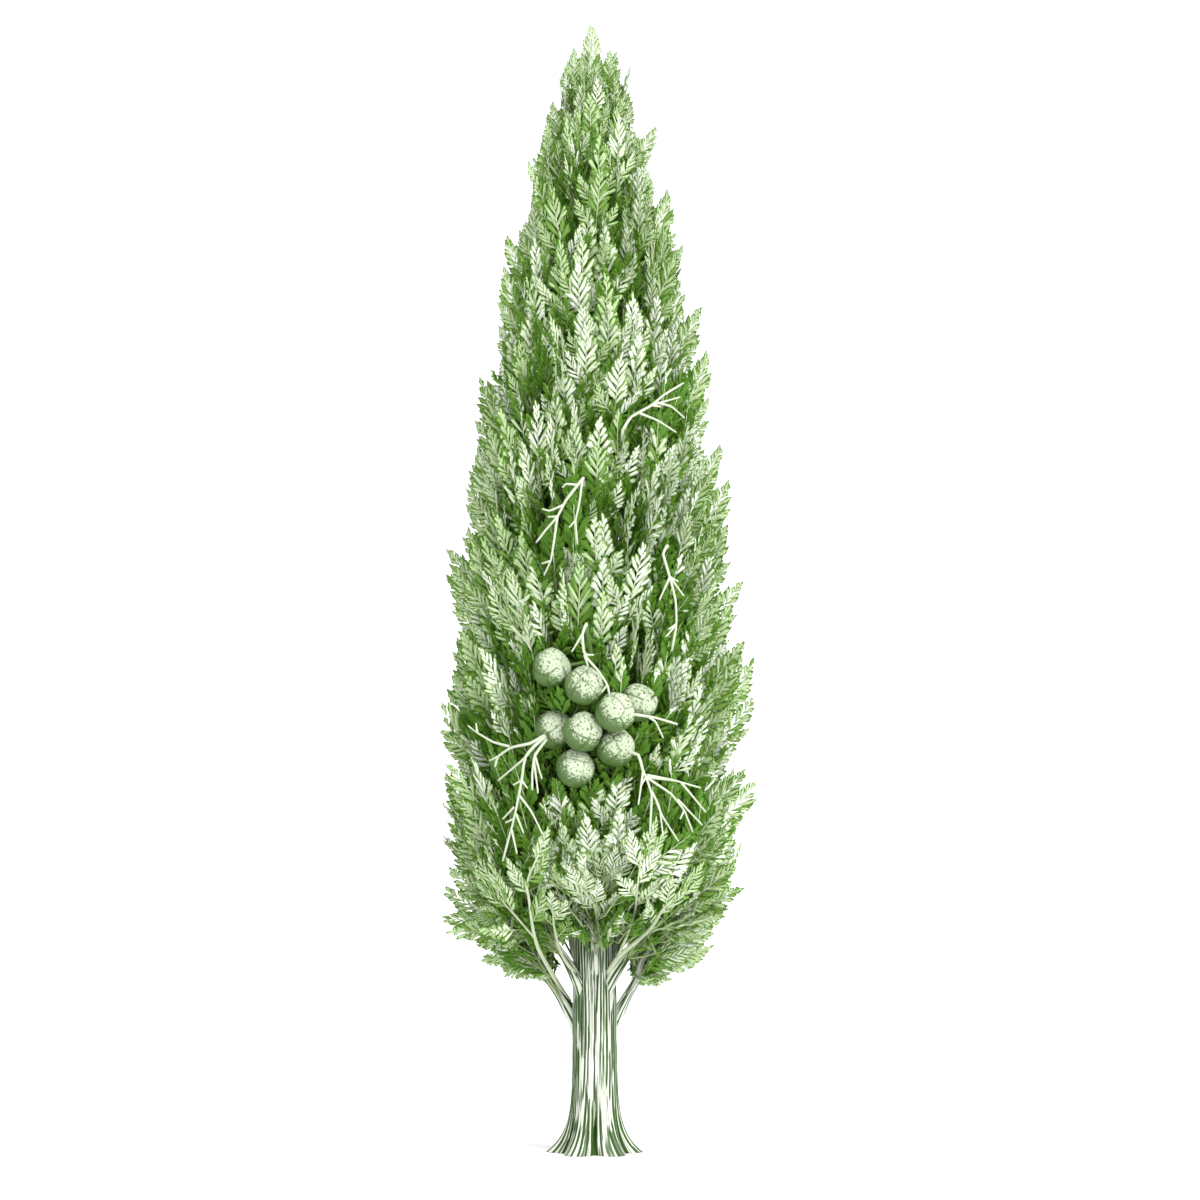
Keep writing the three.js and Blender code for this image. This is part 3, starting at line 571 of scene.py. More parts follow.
def normalised(vectors):
    """The same directions with a length of one."""
    return vectors / np.linalg.norm(vectors, axis=-1, keepdims=True)


def limb_frame(paths):
    """The heading of each path at each station, and two directions square to it."""
    along = normalised(np.gradient(paths, axis=1))
    side = normalised(np.cross(SIDE_REFERENCE, along))
    return along, side, np.cross(along, side)


def copied_faces(faces, count, size):
    """The faces of one form, again for each of its copies, which have their points one after another."""
    return (faces[None] + np.arange(count)[:, None, None] * size).reshape(-1, 3)


def tubes(paths, radii, sides, ridges=0):
    """Closed limbs, all at once: at each station of each path a ring of points square to it, and a point at
    each end. Ridges are added to the radius of each point."""
    paths, radii = np.asarray(paths, float), np.asarray(radii, float)
    count, stations = radii.shape
    along, side, front = limb_frame(paths)
    turn = 2 * np.pi * np.arange(sides) / sides
    reach = radii[..., None] + ridges
    ring = paths[:, :, None] + np.broadcast_to(reach, (count, stations, sides))[..., None] * (
        np.cos(turn)[:, None] * side[:, :, None] + np.sin(turn)[:, None] * front[:, :, None])
    points = np.concatenate([ring.reshape(count, -1, 3), paths[:, [0, -1]]], 1)
    return points.reshape(-1, 3), copied_faces(closed_faces(stations, sides), count, points.shape[1])


bough_share = np.linspace(0, 1, BOUGH_STATIONS)
bough_paths = []
bough_radii = []
for mass, (name, start, radius, tip_radius, tip_height) in zip(masses, BOUGHS):
    bearing = mass["bearing"]
    middle = lerp(mass["floor"], mass["roof"], 0.5)
    edge = core_edge(middle)
    end = sweep_height(middle, edge)
    knots = [
        polar(TRUNK_RADIUS - BOUGH_SUNK, bearing, start - BOUGH_PEEL),
        polar(TRUNK_RADIUS - BOUGH_SUNK / 2, bearing, start - BOUGH_PEEL / 4),
        *(polar(lerp(TRUNK_RADIUS, tip_radius, out), bearing, lerp(start, tip_height, up))
          for out, up in BOUGH_BENDS),
        polar(tip_radius, bearing, tip_height),
        polar(lerp(tip_radius, edge, BOUGH_IN_MASS), bearing, lerp(tip_height, end, BOUGH_IN_MASS)),
        polar(edge * BOUGH_END[0], bearing, end + BOUGH_END[1]),
    ]
    bough_paths.append(smooth_path(knots, BOUGH_STATIONS))
    more, place, width = BOUGH_COLLAR
    collar = 1 + more * np.exp(-(((bough_share - place) / width) ** 2))
    root = lerp(BOUGH_ROOT_RADIUS, 1, ramp(bough_share, 0, BOUGH_ROOT_END))
    bough_radii.append(radius * collar * root * lerp(1, BOUGH_TIP, bough_share**BOUGH_TAPER))
bough_paths = np.array(bough_paths)
bough_radii = np.array(bough_radii)
bough_share = bough_share[None, :, None]
bough_run = BOUGH_RUN * bough_share + np.arange(len(BOUGHS))[:, None, None] * BOUGH_RUN_STEP
bough_turn = (np.arange(BOUGH_SIDES) / BOUGH_SIDES)[None, None, :]
bough_furrow = FURROW_WIDTH * lerp(*BOUGH_FURROWS, ramp(bough_share, 0, BOUGH_ROOT))
bough_ridge = bark_ridge(bough_turn, bough_run, BOUGH_STRIPS, seed=5, width=bough_furrow)
bough_ridge = lerp(bough_ridge, 1, BOUGH_SMOOTH_SHARE * ramp(bough_share, *BOUGH_SMOOTH))
bough_relief = BOUGH_RELIEF * bough_radii[..., None] * (bough_ridge - BOUGH_LEVEL)
bough_along, bough_side, bough_front = limb_frame(bough_paths)
bough_angle = 2 * np.pi * bough_turn
facing = np.cos(bough_angle) * bough_side[..., 2:] + np.sin(bough_angle) * bough_front[..., 2:]
level_part = np.linalg.norm(bough_along[..., :2], axis=-1, keepdims=True)
facing = facing / np.maximum(level_part, UNDERSIDE_LEAST_SLOPE)
sideways = np.cos(np.radians([mass["bearing"] for mass in masses[: len(BOUGHS)]]))[:, None, None] ** 2
# Painted shade: the undersides of the side boughs are darkened.
underside_shade = UNDERSIDE_SHADE_SHARE * sideways * ramp(-facing, *UNDERSIDE_SHADE_FACING) * ramp(bough_share, UNDERSIDE_SHADE_ROOT, 2 * UNDERSIDE_SHADE_ROOT)
bough_ridge = (bough_ridge * (1 - underside_shade)).reshape(len(BOUGHS), -1)
bough_grain = grain_place(bough_radii[:, :1, None], bough_turn, bough_run).reshape(len(BOUGHS), -1, 3)
new_piece(
    "boughs_bark",
    *tubes(bough_paths, bough_radii, BOUGH_SIDES, bough_relief),
    [bark],
    "bark",
    [bough[0] for bough in BOUGHS],
    values={"ridge": with_ends(bough_ridge), "grain": with_ends(bough_grain)},
)

# Fruiting branch
# A branch from the trunk that comes out at the front of the crown and bends over, with eight round cones on
# short stalks. A cone is a ball of shield-shaped woody scales, closed edge to edge, each with a blunt boss.
CONES = (  # across, height, and depth in front of the axis
    (-0.453, 5.2, 1.29),
    (-0.112, 5.02, 1.45),
    (0.446, 4.835, 1.22),
    (0.209, 4.75, 1.55),
    (-0.425, 4.56, 1.2),
    (-0.125, 4.545, 1.46),
    (0.215, 4.375, 1.33),
    (-0.206, 4.16, 1.31),
)
CONE_RADIUS = 0.21
CONE_ROWS = 56
CONE_COLUMNS = 96
CONE_SCALES = 9
CONE_TURN = 6.28  # radians
CONE_SEED = 40
SCALE_JITTER = 0.24
SCALE_SWELL = 0.012
SCALE_WIDTH = 0.75
SEAM_WIDTH = 0.052
SEAM_DEPTH = 0.02
SEAM_CELLS = 2.2
SEAM_SHIFT = 9
SEAM_WRAP = 99
SEAM_OPENING = 3
SEAM_CLOSED = 0.5
BOSS_HEIGHT = 0.01
BOSS_WIDTH = 0.09
FRUITING_STEM = (
    (0, 3.7, 0.15),
    (0, 3.9, 0.5),
    (0, 4.33, 0.9),
    (0, 4.85, 1.12),
    (-0.04, 5.3, 1.21),
    (-0.09, 5.64, 1.42),
)
FRUITING_STEM_RADIUS = 0.044
FRUITING_STEM_TIP = 0.5
FRUITING_STEM_STATIONS = 24
STALK_RADII = (0.022, 0.018)
STALK_STATIONS = 5
CONE_LIGHT_SIDE = np.array([0.52, -0.92, 0.7])  # each cone is pale on this side, towards the light, and in painted shade, darker and more specked, opposite
CONE_SHADE_EDGE = 0.8
CONE_PALE = (0.57, 0.62, 0.50)
CONE_GREEN = (0.34, 0.45, 0.22)
CONE_PAINTED_SHADE = (0.15, 0.26, 0.07)
CONE_DEEP = (0.06, 0.13, 0.02)
CONE_SHADE_SPECKS = 0.42  # how much more specked the side in painted shade is
CONE_ROUGHNESS = 0.55


def front_point(across, height, depth):
    """A point given as the front view shows it."""
    return np.array([across, -depth, height])


def cone_shape(centre, seed):
    """A ball of rows and columns whose radius falls in a narrow seam between the two nearest scale centres,
    swells a little over each scale and rises in a boss at its middle. Also how open the seam is at each
    point, and how deep the painted shade is there, on the side away from the light."""
    down = (np.pi * (np.arange(CONE_ROWS) + 0.5) / CONE_ROWS)[:, None]
    turn = 2 * np.pi * np.arange(CONE_COLUMNS) / CONE_COLUMNS
    parts = (np.sin(down) * np.cos(turn), np.sin(down) * np.sin(turn), np.cos(down))
    ring = np.stack(np.broadcast_arrays(*parts), -1).reshape(-1, 3)
    directions = np.concatenate([ring, [[0, 0, 1], [0, 0, -1]]])
    random = np.random.default_rng(seed)
    k = np.arange(CONE_SCALES) + 0.5
    height = 1 - 2 * k / CONE_SCALES
    golden = np.pi * (1 + 5**0.5) * k + random.uniform(0, CONE_TURN)
    level = np.sqrt(1 - height**2)
    scales = np.stack([level * np.cos(golden), height, level * np.sin(golden)], -1)
    scales = normalised(scales + random.normal(0, SCALE_JITTER, scales.shape))
    nearest = np.sort(np.arccos(np.clip(directions @ scales.T, -1, 1)), 1)
    seam = np.exp(-(((nearest[:, 1] - nearest[:, 0]) / SEAM_WIDTH) ** 2))
    cells = SEAM_CELLS * directions
    opening = wandering(cells[:, 0] + SEAM_SHIFT, cells[:, 2], SEAM_WRAP, seed)
    seam = seam * np.clip(SEAM_OPENING * opening - SEAM_CLOSED, 0, 1)
    swell = np.cos(np.minimum(nearest[:, 0] / SCALE_WIDTH, 1) * np.pi / 2)
    boss = np.exp(-((nearest[:, 0] / BOSS_WIDTH) ** 2))
    radius = CONE_RADIUS - SCALE_SWELL + SCALE_SWELL * swell + BOSS_HEIGHT * boss - SEAM_DEPTH * seam
    return centre + directions * radius[:, None], seam, np.clip(CONE_SHADE_EDGE - directions @ CONE_LIGHT_SIDE, 0, 1)


def paint_cone(tree):
    """Green-grey woody scales under a pale bloom, pitted and specked, with darker seams, and a painted shade
    with denser specks on the side away from the light.
    """
    seam = shade(tree, "Attribute", "Fac", attribute_name="seam")
    painted_light_and_shade = shade(tree, "Attribute", "Fac", attribute_name="painted_light_and_shade")
    specks = shade(tree, "TexNoise", "Fac", Vector=shade(tree, "TexCoord", "Object"), Scale=42, Detail=2)
    # Where the shade is painted, the specks grow denser and the colour darker.
    gain = shade(tree, "Math", "Value", painted_light_and_shade, CONE_SHADE_SPECKS, specks, operation="MULTIPLY_ADD")
    spots = shade(tree, "MapRange", "Result", Value=gain, From_Min=0.55, From_Max=0.62, To_Max=0.9)
    darker = shade(tree, "Math", "Value", spots, seam, operation="MAXIMUM")
    pale = mottled(tree, CONE_PALE, CONE_GREEN, scale=7, share=0.7)
    base = mixed(tree, painted_light_and_shade, pale, (*CONE_PAINTED_SHADE, 1))
    return {
        "Base Color": mixed(tree, darker, base, (*CONE_DEEP, 1)),
        "Normal": shade(tree, "Bump", "Normal", Height=specks, Strength=0.4, Distance=0.004),
    }


stem_path = smooth_path([front_point(*knot) for knot in FRUITING_STEM], FRUITING_STEM_STATIONS)
stem_radii = FRUITING_STEM_RADIUS * np.linspace(1, FRUITING_STEM_TIP, FRUITING_STEM_STATIONS)
cone_centres = np.array([front_point(*cone) for cone in CONES])
nearest_stem = np.linalg.norm(cone_centres[:, None] - stem_path[None], axis=-1).argmin(1)
stalk_paths = np.linspace(stem_path[nearest_stem], cone_centres, STALK_STATIONS, axis=1)
stalk_radii = np.tile(np.linspace(*STALK_RADII, STALK_STATIONS), (len(CONES), 1))

balls, seams, painted_shades = zip(*(cone_shape(centre, CONE_SEED + i) for i, centre in enumerate(cone_centres)))
new_piece(
    "cones",
    np.concatenate(balls),
    copied_faces(closed_faces(CONE_ROWS, CONE_COLUMNS)[:, ::-1], len(CONES), len(balls[0])),
    [new_material("cone", CONE_PALE, CONE_ROUGHNESS, paint_cone)],
    "cone_and_twig",
    ["fruiting_branch"],
    values={"seam": np.concatenate(seams), "painted_light_and_shade": np.concatenate(painted_shades)},
)

# Bare twigs
# Thin pale twigs that have shed their leaves and lie over the front of the crown, in forked groups.
# Each line is across and height, from its thick end, and the first line of a group grows from a limb.
BARE_TWIG_RADIUS = 0.0185
BARE_TWIG_FORK = 0.76
BARE_TWIG_TAPER = 0.5
BARE_TWIG_BUD = (0.12, 0.9, 0.08)  # how much thicker, and the middle and width as shares of its way
BARE_TWIG_PROUD = 0.07
BARE_TWIG_ROOT = 0.85
BARE_TWIG_STATIONS = 16
BARE_TWIG_EASE = 0.3  # of a twig's kinks that is smoothed away
SPUR_LENGTH = 0.1
SPUR_TURN = math.radians(48)
BARE_TWIG_PALE = (0.62, 0.66, 0.56)
BARE_TWIG_DULL = (0.38, 0.45, 0.27)
# painted shade: the fruiting stem and the stalks are dark green, like the shade among the leaves
STALK_SHADE_COLOURS = ((0.11, 0.21, 0.04), (0.06, 0.13, 0.02))
YOUNG_BARK_PATCHES = 14  # a metre
YOUNG_BARK_SHARE = 0.7
YOUNG_BARK_ROUGHNESS = 0.7
CONE_TWIGS = (
    (((-0.09, 5.67), (-0.13, 5.56), (-0.11, 5.35), (0.03, 5.19), (0.13, 5.04), (0.15, 4.94)),
     ((-0.13, 5.56), (-0.24, 5.38)),
     ((-0.11, 5.35), (-0.07, 5.23))),
    (((-0.66, 4.43), (-0.87, 4.38), (-1.01, 4.28), (-1.04, 4.17)),
     ((-0.89, 4.39), (-1.06, 4.43), (-1.23, 4.52), (-1.33, 4.59))),
    (((-0.64, 4.39), (-0.73, 4.27), (-0.76, 4.04), (-0.79, 3.89), (-0.84, 3.64), (-0.90, 3.42),
      (-0.96, 3.19)),
     ((-0.73, 4.27), (-1.01, 4.03)),
     ((-0.76, 4.04), (-0.85, 3.99)),
     ((-0.79, 3.89), (-0.66, 3.72), (-0.54, 3.48)),
     ((-0.84, 3.76), (-0.96, 3.63)),
     ((-0.82, 3.69), (-0.74, 3.49)),
     ((-0.87, 3.54), (-0.81, 3.27))),
    (((-0.62, 4.31), (-0.65, 4.12), (-0.65, 3.94)),
     ((-0.63, 4.23), (-0.59, 3.91)),
     ((-0.62, 4.29), (-0.55, 4.06))),
    (((0.45, 4.31), (0.50, 4.14), (0.53, 4.08), (0.59, 3.89), (0.57, 3.48)),
     ((0.53, 4.08), (0.85, 4.03)),
     ((0.54, 4.10), (0.82, 4.04), (1.10, 3.95)),
     ((0.53, 4.08), (0.79, 3.90), (0.93, 3.72), (1.02, 3.49)),
     ((0.59, 3.93), (0.67, 3.76), (0.71, 3.45)),
     ((0.64, 3.82), (0.70, 3.67), (0.87, 3.40)),
     ((0.50, 4.14), (0.45, 3.79)),
     ((0.86, 3.84), (1.12, 3.56)),
     ((0.90, 4.01), (1.16, 3.69))),
    (((0.48, 4.72), (0.64, 4.69), (0.86, 4.62)),
     ((0.56, 4.70), (0.63, 4.65), (0.71, 4.48))),
)
MASS_TWIGS = {  # by the height at which the root leaves its mass
    7.5: (
        ((0.29, 7.68), (0.38, 7.82), (0.59, 7.94), (0.72, 8.05), (0.93, 8.18)),
        ((0.59, 7.94), (0.89, 8.03)),
        ((0.64, 7.97), (0.80, 7.93), (0.94, 7.81)),
        ((0.46, 7.86), (0.66, 7.78), (0.85, 7.66)),
    ),
    7.05: (
        ((-0.12, 7.18), (-0.30, 6.95), (-0.39, 6.78), (-0.52, 6.63), (-0.61, 6.51)),
        ((-0.13, 7.17), (-0.16, 6.93), (-0.20, 6.74), (-0.18, 6.49)),
        ((-0.39, 6.78), (-0.43, 6.49), (-0.46, 6.32), (-0.53, 6.17)),
        ((-0.18, 7.11), (-0.30, 7.12), (-0.34, 7.08)),
        ((-0.33, 6.90), (-0.47, 6.84), (-0.55, 6.86)),
    ),
    6.35: (
        ((0.76, 6.49), (0.71, 6.39), (0.78, 6.15), (0.84, 5.91), (0.85, 5.66), (0.80, 5.38)),
        ((0.78, 6.15), (0.93, 5.95)),
        ((0.78, 6.15), (0.67, 5.91)),
        ((0.85, 5.66), (0.74, 5.53)),
    ),
}


def on_front(line):
    """Places on the front of the crown, a little proud of the leaves."""
    across, height = np.array(line).T
    reach = crown_radius(height) + BARE_TWIG_PROUD
    return np.stack([across, -np.sqrt(reach**2 - (across - axis_x(height)) ** 2), height], -1)


def young_bark(name, colour, other):
    """Young smooth bark of one colour with soft patches of another."""
    return new_material(name, colour, YOUNG_BARK_ROUGHNESS, lambda tree: {
        "Base Color": mottled(tree, colour, other, YOUNG_BARK_PATCHES, YOUNG_BARK_SHARE),
    })


def with_spurs(lines):
    """The lines of a group, and a short spur at every other inner corner of the longer ones, to each side by
    turns."""
    spurs = []
    for line in lines:
        line = np.array(line)
        for k in range(2, len(line) - 1, 2):
            hand = 1 if (k + len(line)) % 4 < 2 else -1
            heading = math.atan2(*(line[k + 1] - line[k])[::-1]) + SPUR_TURN * hand
            spurs.append((line[k], line[k] + SPUR_LENGTH * np.array([math.cos(heading), math.sin(heading)])))
    return [*lines, *spurs]


def kinked_path(points, count):
    """Points along a few, with the corners between them eased a little."""
    knots = np.linspace(0, len(points) - 1, count)
    straight = np.stack([np.interp(knots, np.arange(len(points)), axis) for axis in points.T], -1)
    return lerp(straight, smooth_path(points, count), BARE_TWIG_EASE)


def joined(sets):
    """Points and faces of several sets as one."""
    offsets = np.cumsum([0] + [len(points) for points, faces in sets])
    faces = [faces + offset for (points, faces), offset in zip(sets, offsets)]
    return np.concatenate([points for points, faces in sets]), np.concatenate(faces)


twig_groups = [(lines, np.concatenate([stem_path, cone_centres])) for lines in CONE_TWIGS]
for height, lines in MASS_TWIGS.items():
    across = lines[0][0][0]
    r = core_edge(sweep_start(height, crown_radius(height))) * BARE_TWIG_ROOT
    depth = math.sqrt(r**2 - (across - axis_x(height)) ** 2)
    twig_groups.append((lines, np.array([[across, -depth, height]])))
t = np.linspace(0, 1, BARE_TWIG_STATIONS)
more, place, width = BARE_TWIG_BUD
taper = 1 - BARE_TWIG_TAPER * t + more * np.exp(-(((t - place) / width) ** 2))
shown_twigs = []
bare_paths = []
bare_radii = []
for lines, limb in twig_groups:
    for i, line in enumerate(with_spurs(lines)):
        shown = on_front(line)
        shown_twigs.append(shown)
        if i == 0:
            shown = np.concatenate([limb[[np.linalg.norm(limb - shown[0], axis=1).argmin()]], shown])
        bare_paths.append(kinked_path(shown, BARE_TWIG_STATIONS))
        bare_radii.append(BARE_TWIG_RADIUS * (1 if i == 0 else BARE_TWIG_FORK) * taper)
bare_sets = [
    tubes(bare_paths, bare_radii, sides=8),
    tubes(stem_path[None], stem_radii[None], sides=12),
    tubes(stalk_paths, stalk_radii, sides=8),
]
new_piece(
    "bare_twigs",
    *joined(bare_sets),
    [young_bark("bare_twig", BARE_TWIG_PALE, BARE_TWIG_DULL), young_bark("stalk", *STALK_SHADE_COLOURS)],
    "cone_and_twig",
    ["fruiting_branch"],
    tones=np.repeat((0, 1, 1), [len(faces) for points, faces in bare_sets]),
)

# Limbs on the crown's face
# Pale limbs that fork from the boughs and come out among the leaves at the front of the lower crown. A line
# is across and height as the picture has them, from its thick end. One without a depth forks from the
# nearest limb.
FACE_LIMBS = (  # depth of the root in front of the axis, its radius, and the line
    (-0.08, 0.028, ((-0.27, 1.60), (-0.38, 1.77), (-0.46, 1.91), (-0.53, 2.03), (-0.61, 2.19), (-0.66, 2.38),
                    (-0.70, 2.68), (-0.72, 2.89), (-0.60, 3.17))),
    (-0.13, 0.022, ((-0.47, 1.88), (-0.60, 1.97), (-0.74, 2.05), (-0.90, 2.11))),
    (0.16, 0.024, ((-0.16, 1.87), (-0.28, 1.99), (-0.37, 2.15), (-0.43, 2.38), (-0.45, 2.57))),
    (0.16, 0.026, ((0.01, 2.08), (0.02, 2.27), (0.02, 2.57), (-0.05, 2.70), (-0.16, 2.84))),
    (0.16, 0.028, ((0.13, 1.90), (0.25, 2.08), (0.41, 2.22), (0.55, 2.34), (0.65, 2.47), (0.71, 2.57),
                   (0.81, 2.68), (0.93, 2.80))),
    (None, 0.014, ((-0.66, 2.38), (-0.83, 2.50), (-0.97, 2.66), (-1.06, 2.80))),
    (None, 0.014, ((0.02, 2.57), (0.11, 2.75), (0.16, 2.94))),
    (None, 0.013, ((0.0, 2.34), (-0.14, 2.50), (-0.37, 2.59))),
    (None, 0.018, ((0.26, 2.08), (0.37, 2.38), (0.43, 2.59), (0.45, 2.80), (0.48, 3.03), (0.53, 3.17))),
    (None, 0.012, ((0.53, 2.33), (0.69, 2.38), (0.86, 2.40))),
)
LIMB_RISE = 0.75  # a limb reaches the crown's face this far above its root
LIMB_INSET = 0.03
FACE_LIMB_TIP = 0.36
FACE_LIMB_STATIONS = 24
SHOWN_STEP = 3  # between the stations that leaves keep clear of
FACE_LIMB_COLOURS = ((0.56, 0.62, 0.46), (0.30, 0.39, 0.18))


def on_face(line, root):
    """Places of a limb that comes forward from the depth of its root to the crown's face as it rises, where
    the camera sees them at their across and height."""
    across, height = np.array(line).T
    face = np.sqrt(np.maximum(crown_radius(height) ** 2 - across**2, root**2)) - LIMB_INSET
    depth = lerp(root, face, np.clip((height - height[0]) / LIMB_RISE, 0, 1))
    nearer = depth / VIEW_DISTANCE
    height = height + depth * math.tan(VIEW_ELEVATION) + nearer * (aim.z - height)
    return np.stack([across * (1 - nearer), -depth, height], -1)


face_limbs = []
for root, radius, line in FACE_LIMBS:
    if root is None:
        others = np.concatenate(face_limbs)
        nearest = others[np.hypot(others[:, 0] - line[0][0], others[:, 2] - line[0][1]).argmin()]
        path = on_face(line, -nearest[1])
        path[0] = nearest
    else:
        path = on_face(line, root)
    face_limbs.append(smooth_path(path, FACE_LIMB_STATIONS))
face_limbs = np.array(face_limbs)
shown_twigs += [path[::SHOWN_STEP] for path in face_limbs]
face_radii = np.array([radius for root, radius, line in FACE_LIMBS])[:, None]
new_piece(
    "face_limbs",
    *tubes(face_limbs, face_radii * np.linspace(1, FACE_LIMB_TIP, FACE_LIMB_STATIONS), sides=10),
    [young_bark("limb", *FACE_LIMB_COLOURS)],
    "bark",
    [],
)

# Twigs of the crown
# From each limb, branches fan out along the bowls of their mass to twigs at its face. A twig is a green shoot
# that leans out so that its last spray ends on the crown's outline. Under the low masses short twigs stick
# out sideways, and round the leader they close up to a point.
TWIG_LENGTH = 0.38
SPRAY_LENGTH = 0.70
REACH_OF_TWIG = TWIG_LENGTH + SPRAY_LENGTH
TWIG_SIZES = (0.88, 1.1)
TWIG_TURN = 12
TWIG_ROLL = 24
EDGE_ON = 90
TWIG_ARCH = 6  # degrees between a twig's heading at its root and at its tip
SIDE_FAN = 40
SIDE_FAN_TURNED = 27
FAN_SPREAD = 10
REACH = (-0.1, 0.32)  # most twigs stay near the first
REACH_POWER = 2.6
ROOT_IN = 0.085
ROOT_DOWN = 0.04
AREA_PER_TWIG = 0.135
TOP_SIZE = 0.68  # of a twig's size at the crown's widest
LEANS = (38, 80)  # the most a twig leans, high up and at the crown's foot
LEAN_FADE = 0.8
FACE_SHARE = 0.92
FACE_SIDE = 0.03
LOW_BIAS = 1.5
CORE_UNDER_ROOF = 0.08
CORE_OVER_FLOOR = 0.02
CORE_OVER_BOUGH = 0.23
CORE_OFF_TRUNK = 0.07
CORE_DEPTH = 0.06
CORE_ROUND = (0.1, 0.08)  # how far a core's face draws in at its sides, and at its foot and top
OPEN_FOOT_RADIUS = 0.47
TURNED = (0.1, 0.85)  # shares of the twigs at the front and at the sides that are turned edge on
SKIRT_TWIGS = 20
SKIRT_LEANS = (28, 94)
SKIRT_VARIED = 0.4
SKIRT_INNER = 0.62
SKIRT_POWER = 0.6
SKIRT_LEVEL = 0.4
SKIRT_RISE = 0.1
SKIRT_REACH = (0.0, 0.5)
SKIRT_SIZES = (0.45, 0.9)
FAN_TWIGS = 11
FAN_LEANS = (8, 58)
FAN_TURN = 76  # a fan's twigs lean along the crown's face
FAN_WIDTH = 0.8
FAN_INSET = 0.16
FAN_LEVELS = (0.25, 1.1)
FAN_SIZES = (0.75, 1.0)
LEADER_FOOT = 10.395
LEADER_HEART = 1.185
LEADER_TWIGS = 26
LEADER_TOP = 11.72
LEADER_SIZE = 0.8
LEADER_SHARE = 0.85
LEADER_ROOM = 0.75
CREST_TIPS = (HEIGHT - 0.01, 11.85, 11.66, 11.45, 11.2, 10.9)
CREST_SIZE = 0.78
CREST_FAN = 17
FORKS = (0.35, 0.7)  # a branch forks off between these shares of its way out
FORK_CURVE = 1.3
BRANCH_STATIONS = 7
LIMB_STATIONS = 12
LIMB_RADIUS = 0.042
LIMB_REACH = 0.86  # of the way to the face of the crown's heart
LIMB_LEVEL = 0.3
LIMB_SIZES = (0.5, 1)  # by how far out the heart's face is, in metres
LIMB_TIP = 0.35
LEAN_STEPS = 20
TWIG_TRAITS = 8
TRAIT_DIGITS = 16  # a trait times this, less its whole part, is another trait
SIZE_DIGITS = 0.1
SKIRT_SEED = 30
FAN_SEED = 70
LEADER_SEED = 7
DRAW_RANGE = 2**32
DRAW_SPREAD = 2654435761
DRAW_STEPS = (1664525, 1013904223)
EVEN_STEPS = (0.7548776662, 0.569840291)
UP = np.array([0, 0, 1])


def seeded_draws(seed, count):
    """The repeatable stream of numbers from 0 to 1 that each mass draws from."""
    times, more = DRAW_STEPS
    state = seed * DRAW_SPREAD % DRAW_RANGE
    draws = []
    for _ in range(count):
        state = (state * times + more) % DRAW_RANGE
        draws.append(state / DRAW_RANGE)
    return np.array(draws)


def scattered(seed, count, kinds):
    """Even places over the unit square, each a fixed step on from the last, and random traits for each."""
    draws = seeded_draws(seed, 2 + kinds * count)
    index = np.arange(1, count + 1)
    across, up = ((draw + step * index) % 1 for draw, step in zip(draws, EVEN_STEPS))
    return across, up, draws[2:].reshape(count, kinds)


def core_point(mass, a, b, out, hub=OPEN_FOOT_RADIUS):
    """A point in a mass's heart from shares across it, up it and outward."""
    over = CORE_OVER_BOUGH if mass["tier"] == 0 else CORE_OVER_FLOOR
    start = lerp(mass["floor"] + over, mass["roof"] - CORE_UNDER_ROOF, b)
    sides, ends = CORE_ROUND
    rounding = 1 - sides * np.abs(2 * a - 1) ** 4 - ends * np.abs(2 * b - 1) ** 4
    inner = hub if mass["tier"] == 0 else trunk_radius(start) + CORE_OFF_TRUNK
    r = lerp(inner, np.maximum(core_edge(start) * rounding, inner + CORE_DEPTH), out)
    return polar(r, mass["bearing"] + mass["half"] * (2 * a - 1), sweep_height(start, r))


def lean_to_outline(root, length, reach):
    """The lean at which a straight twig of this length would end on the outline."""
    r, z = radius_of(root), root[:, 2]
    most = np.radians(lerp(*LEANS, np.exp(-np.maximum(z - CROWN_FOOT, 0) / LEAN_FADE)))

    def inside(lean):
        """Whether the twig's tip is within the outline."""
        return crown_radius(z + length * np.cos(lean)) + reach > r + length * np.sin(lean)

    return halve(most, inside, LEAN_STEPS)


def outward(bearing):
    """Level directions away from the axis, at bearings in radians."""
    return np.stack([np.cos(bearing), np.sin(bearing), 0 * bearing], -1)


def swung(heading, across, angle):
    """Headings turned by an angle towards a direction square to them."""
    return heading * np.cos(angle) + across * np.sin(angle)


def grow_twigs(root, bearing, lean, size, traits, turned_shares=TURNED):
    """Twigs as arcs. Of their traits the fourth is the roll, the next three are the fans of the sprays, and
    the last is the hand. A share of them, from front to side, is turned edge on to the way they lean, and
    spreads its sprays up and out instead."""
    out = outward(bearing)
    arch = np.radians(TWIG_ARCH) / 2
    turned = traits[:, 7] * TRAIT_DIGITS % 1 < lerp(*turned_shares, np.abs(np.cos(bearing)))
    roll = np.radians((traits[:, 3] - 0.5) * TWIG_ROLL + EDGE_ON * turned)[:, None]
    along = swung(UP, out, lean[:, None])
    level = np.cross(UP, out)
    fan = np.where(turned, SIDE_FAN_TURNED, SIDE_FAN)
    fans = [
        (traits[:, 4] - 0.5) * FAN_SPREAD,
        fan + traits[:, 5] * FAN_SPREAD,
        -fan - traits[:, 6] * FAN_SPREAD,
    ]
    return {
        "base": root - ROOT_DOWN * along - ROOT_IN * out,
        "first": swung(UP, out, (lean + arch)[:, None]),
        "last": swung(UP, out, (lean - arch)[:, None]),
        "length": REACH_OF_TWIG * size / np.cos(arch),
        "across": swung(level, np.cross(along, level), roll) * np.where(traits[:, 7:8] < 0.5, 1, -1),
        "size": size,
        "fans": np.radians(np.stack(fans, -1)),
    }


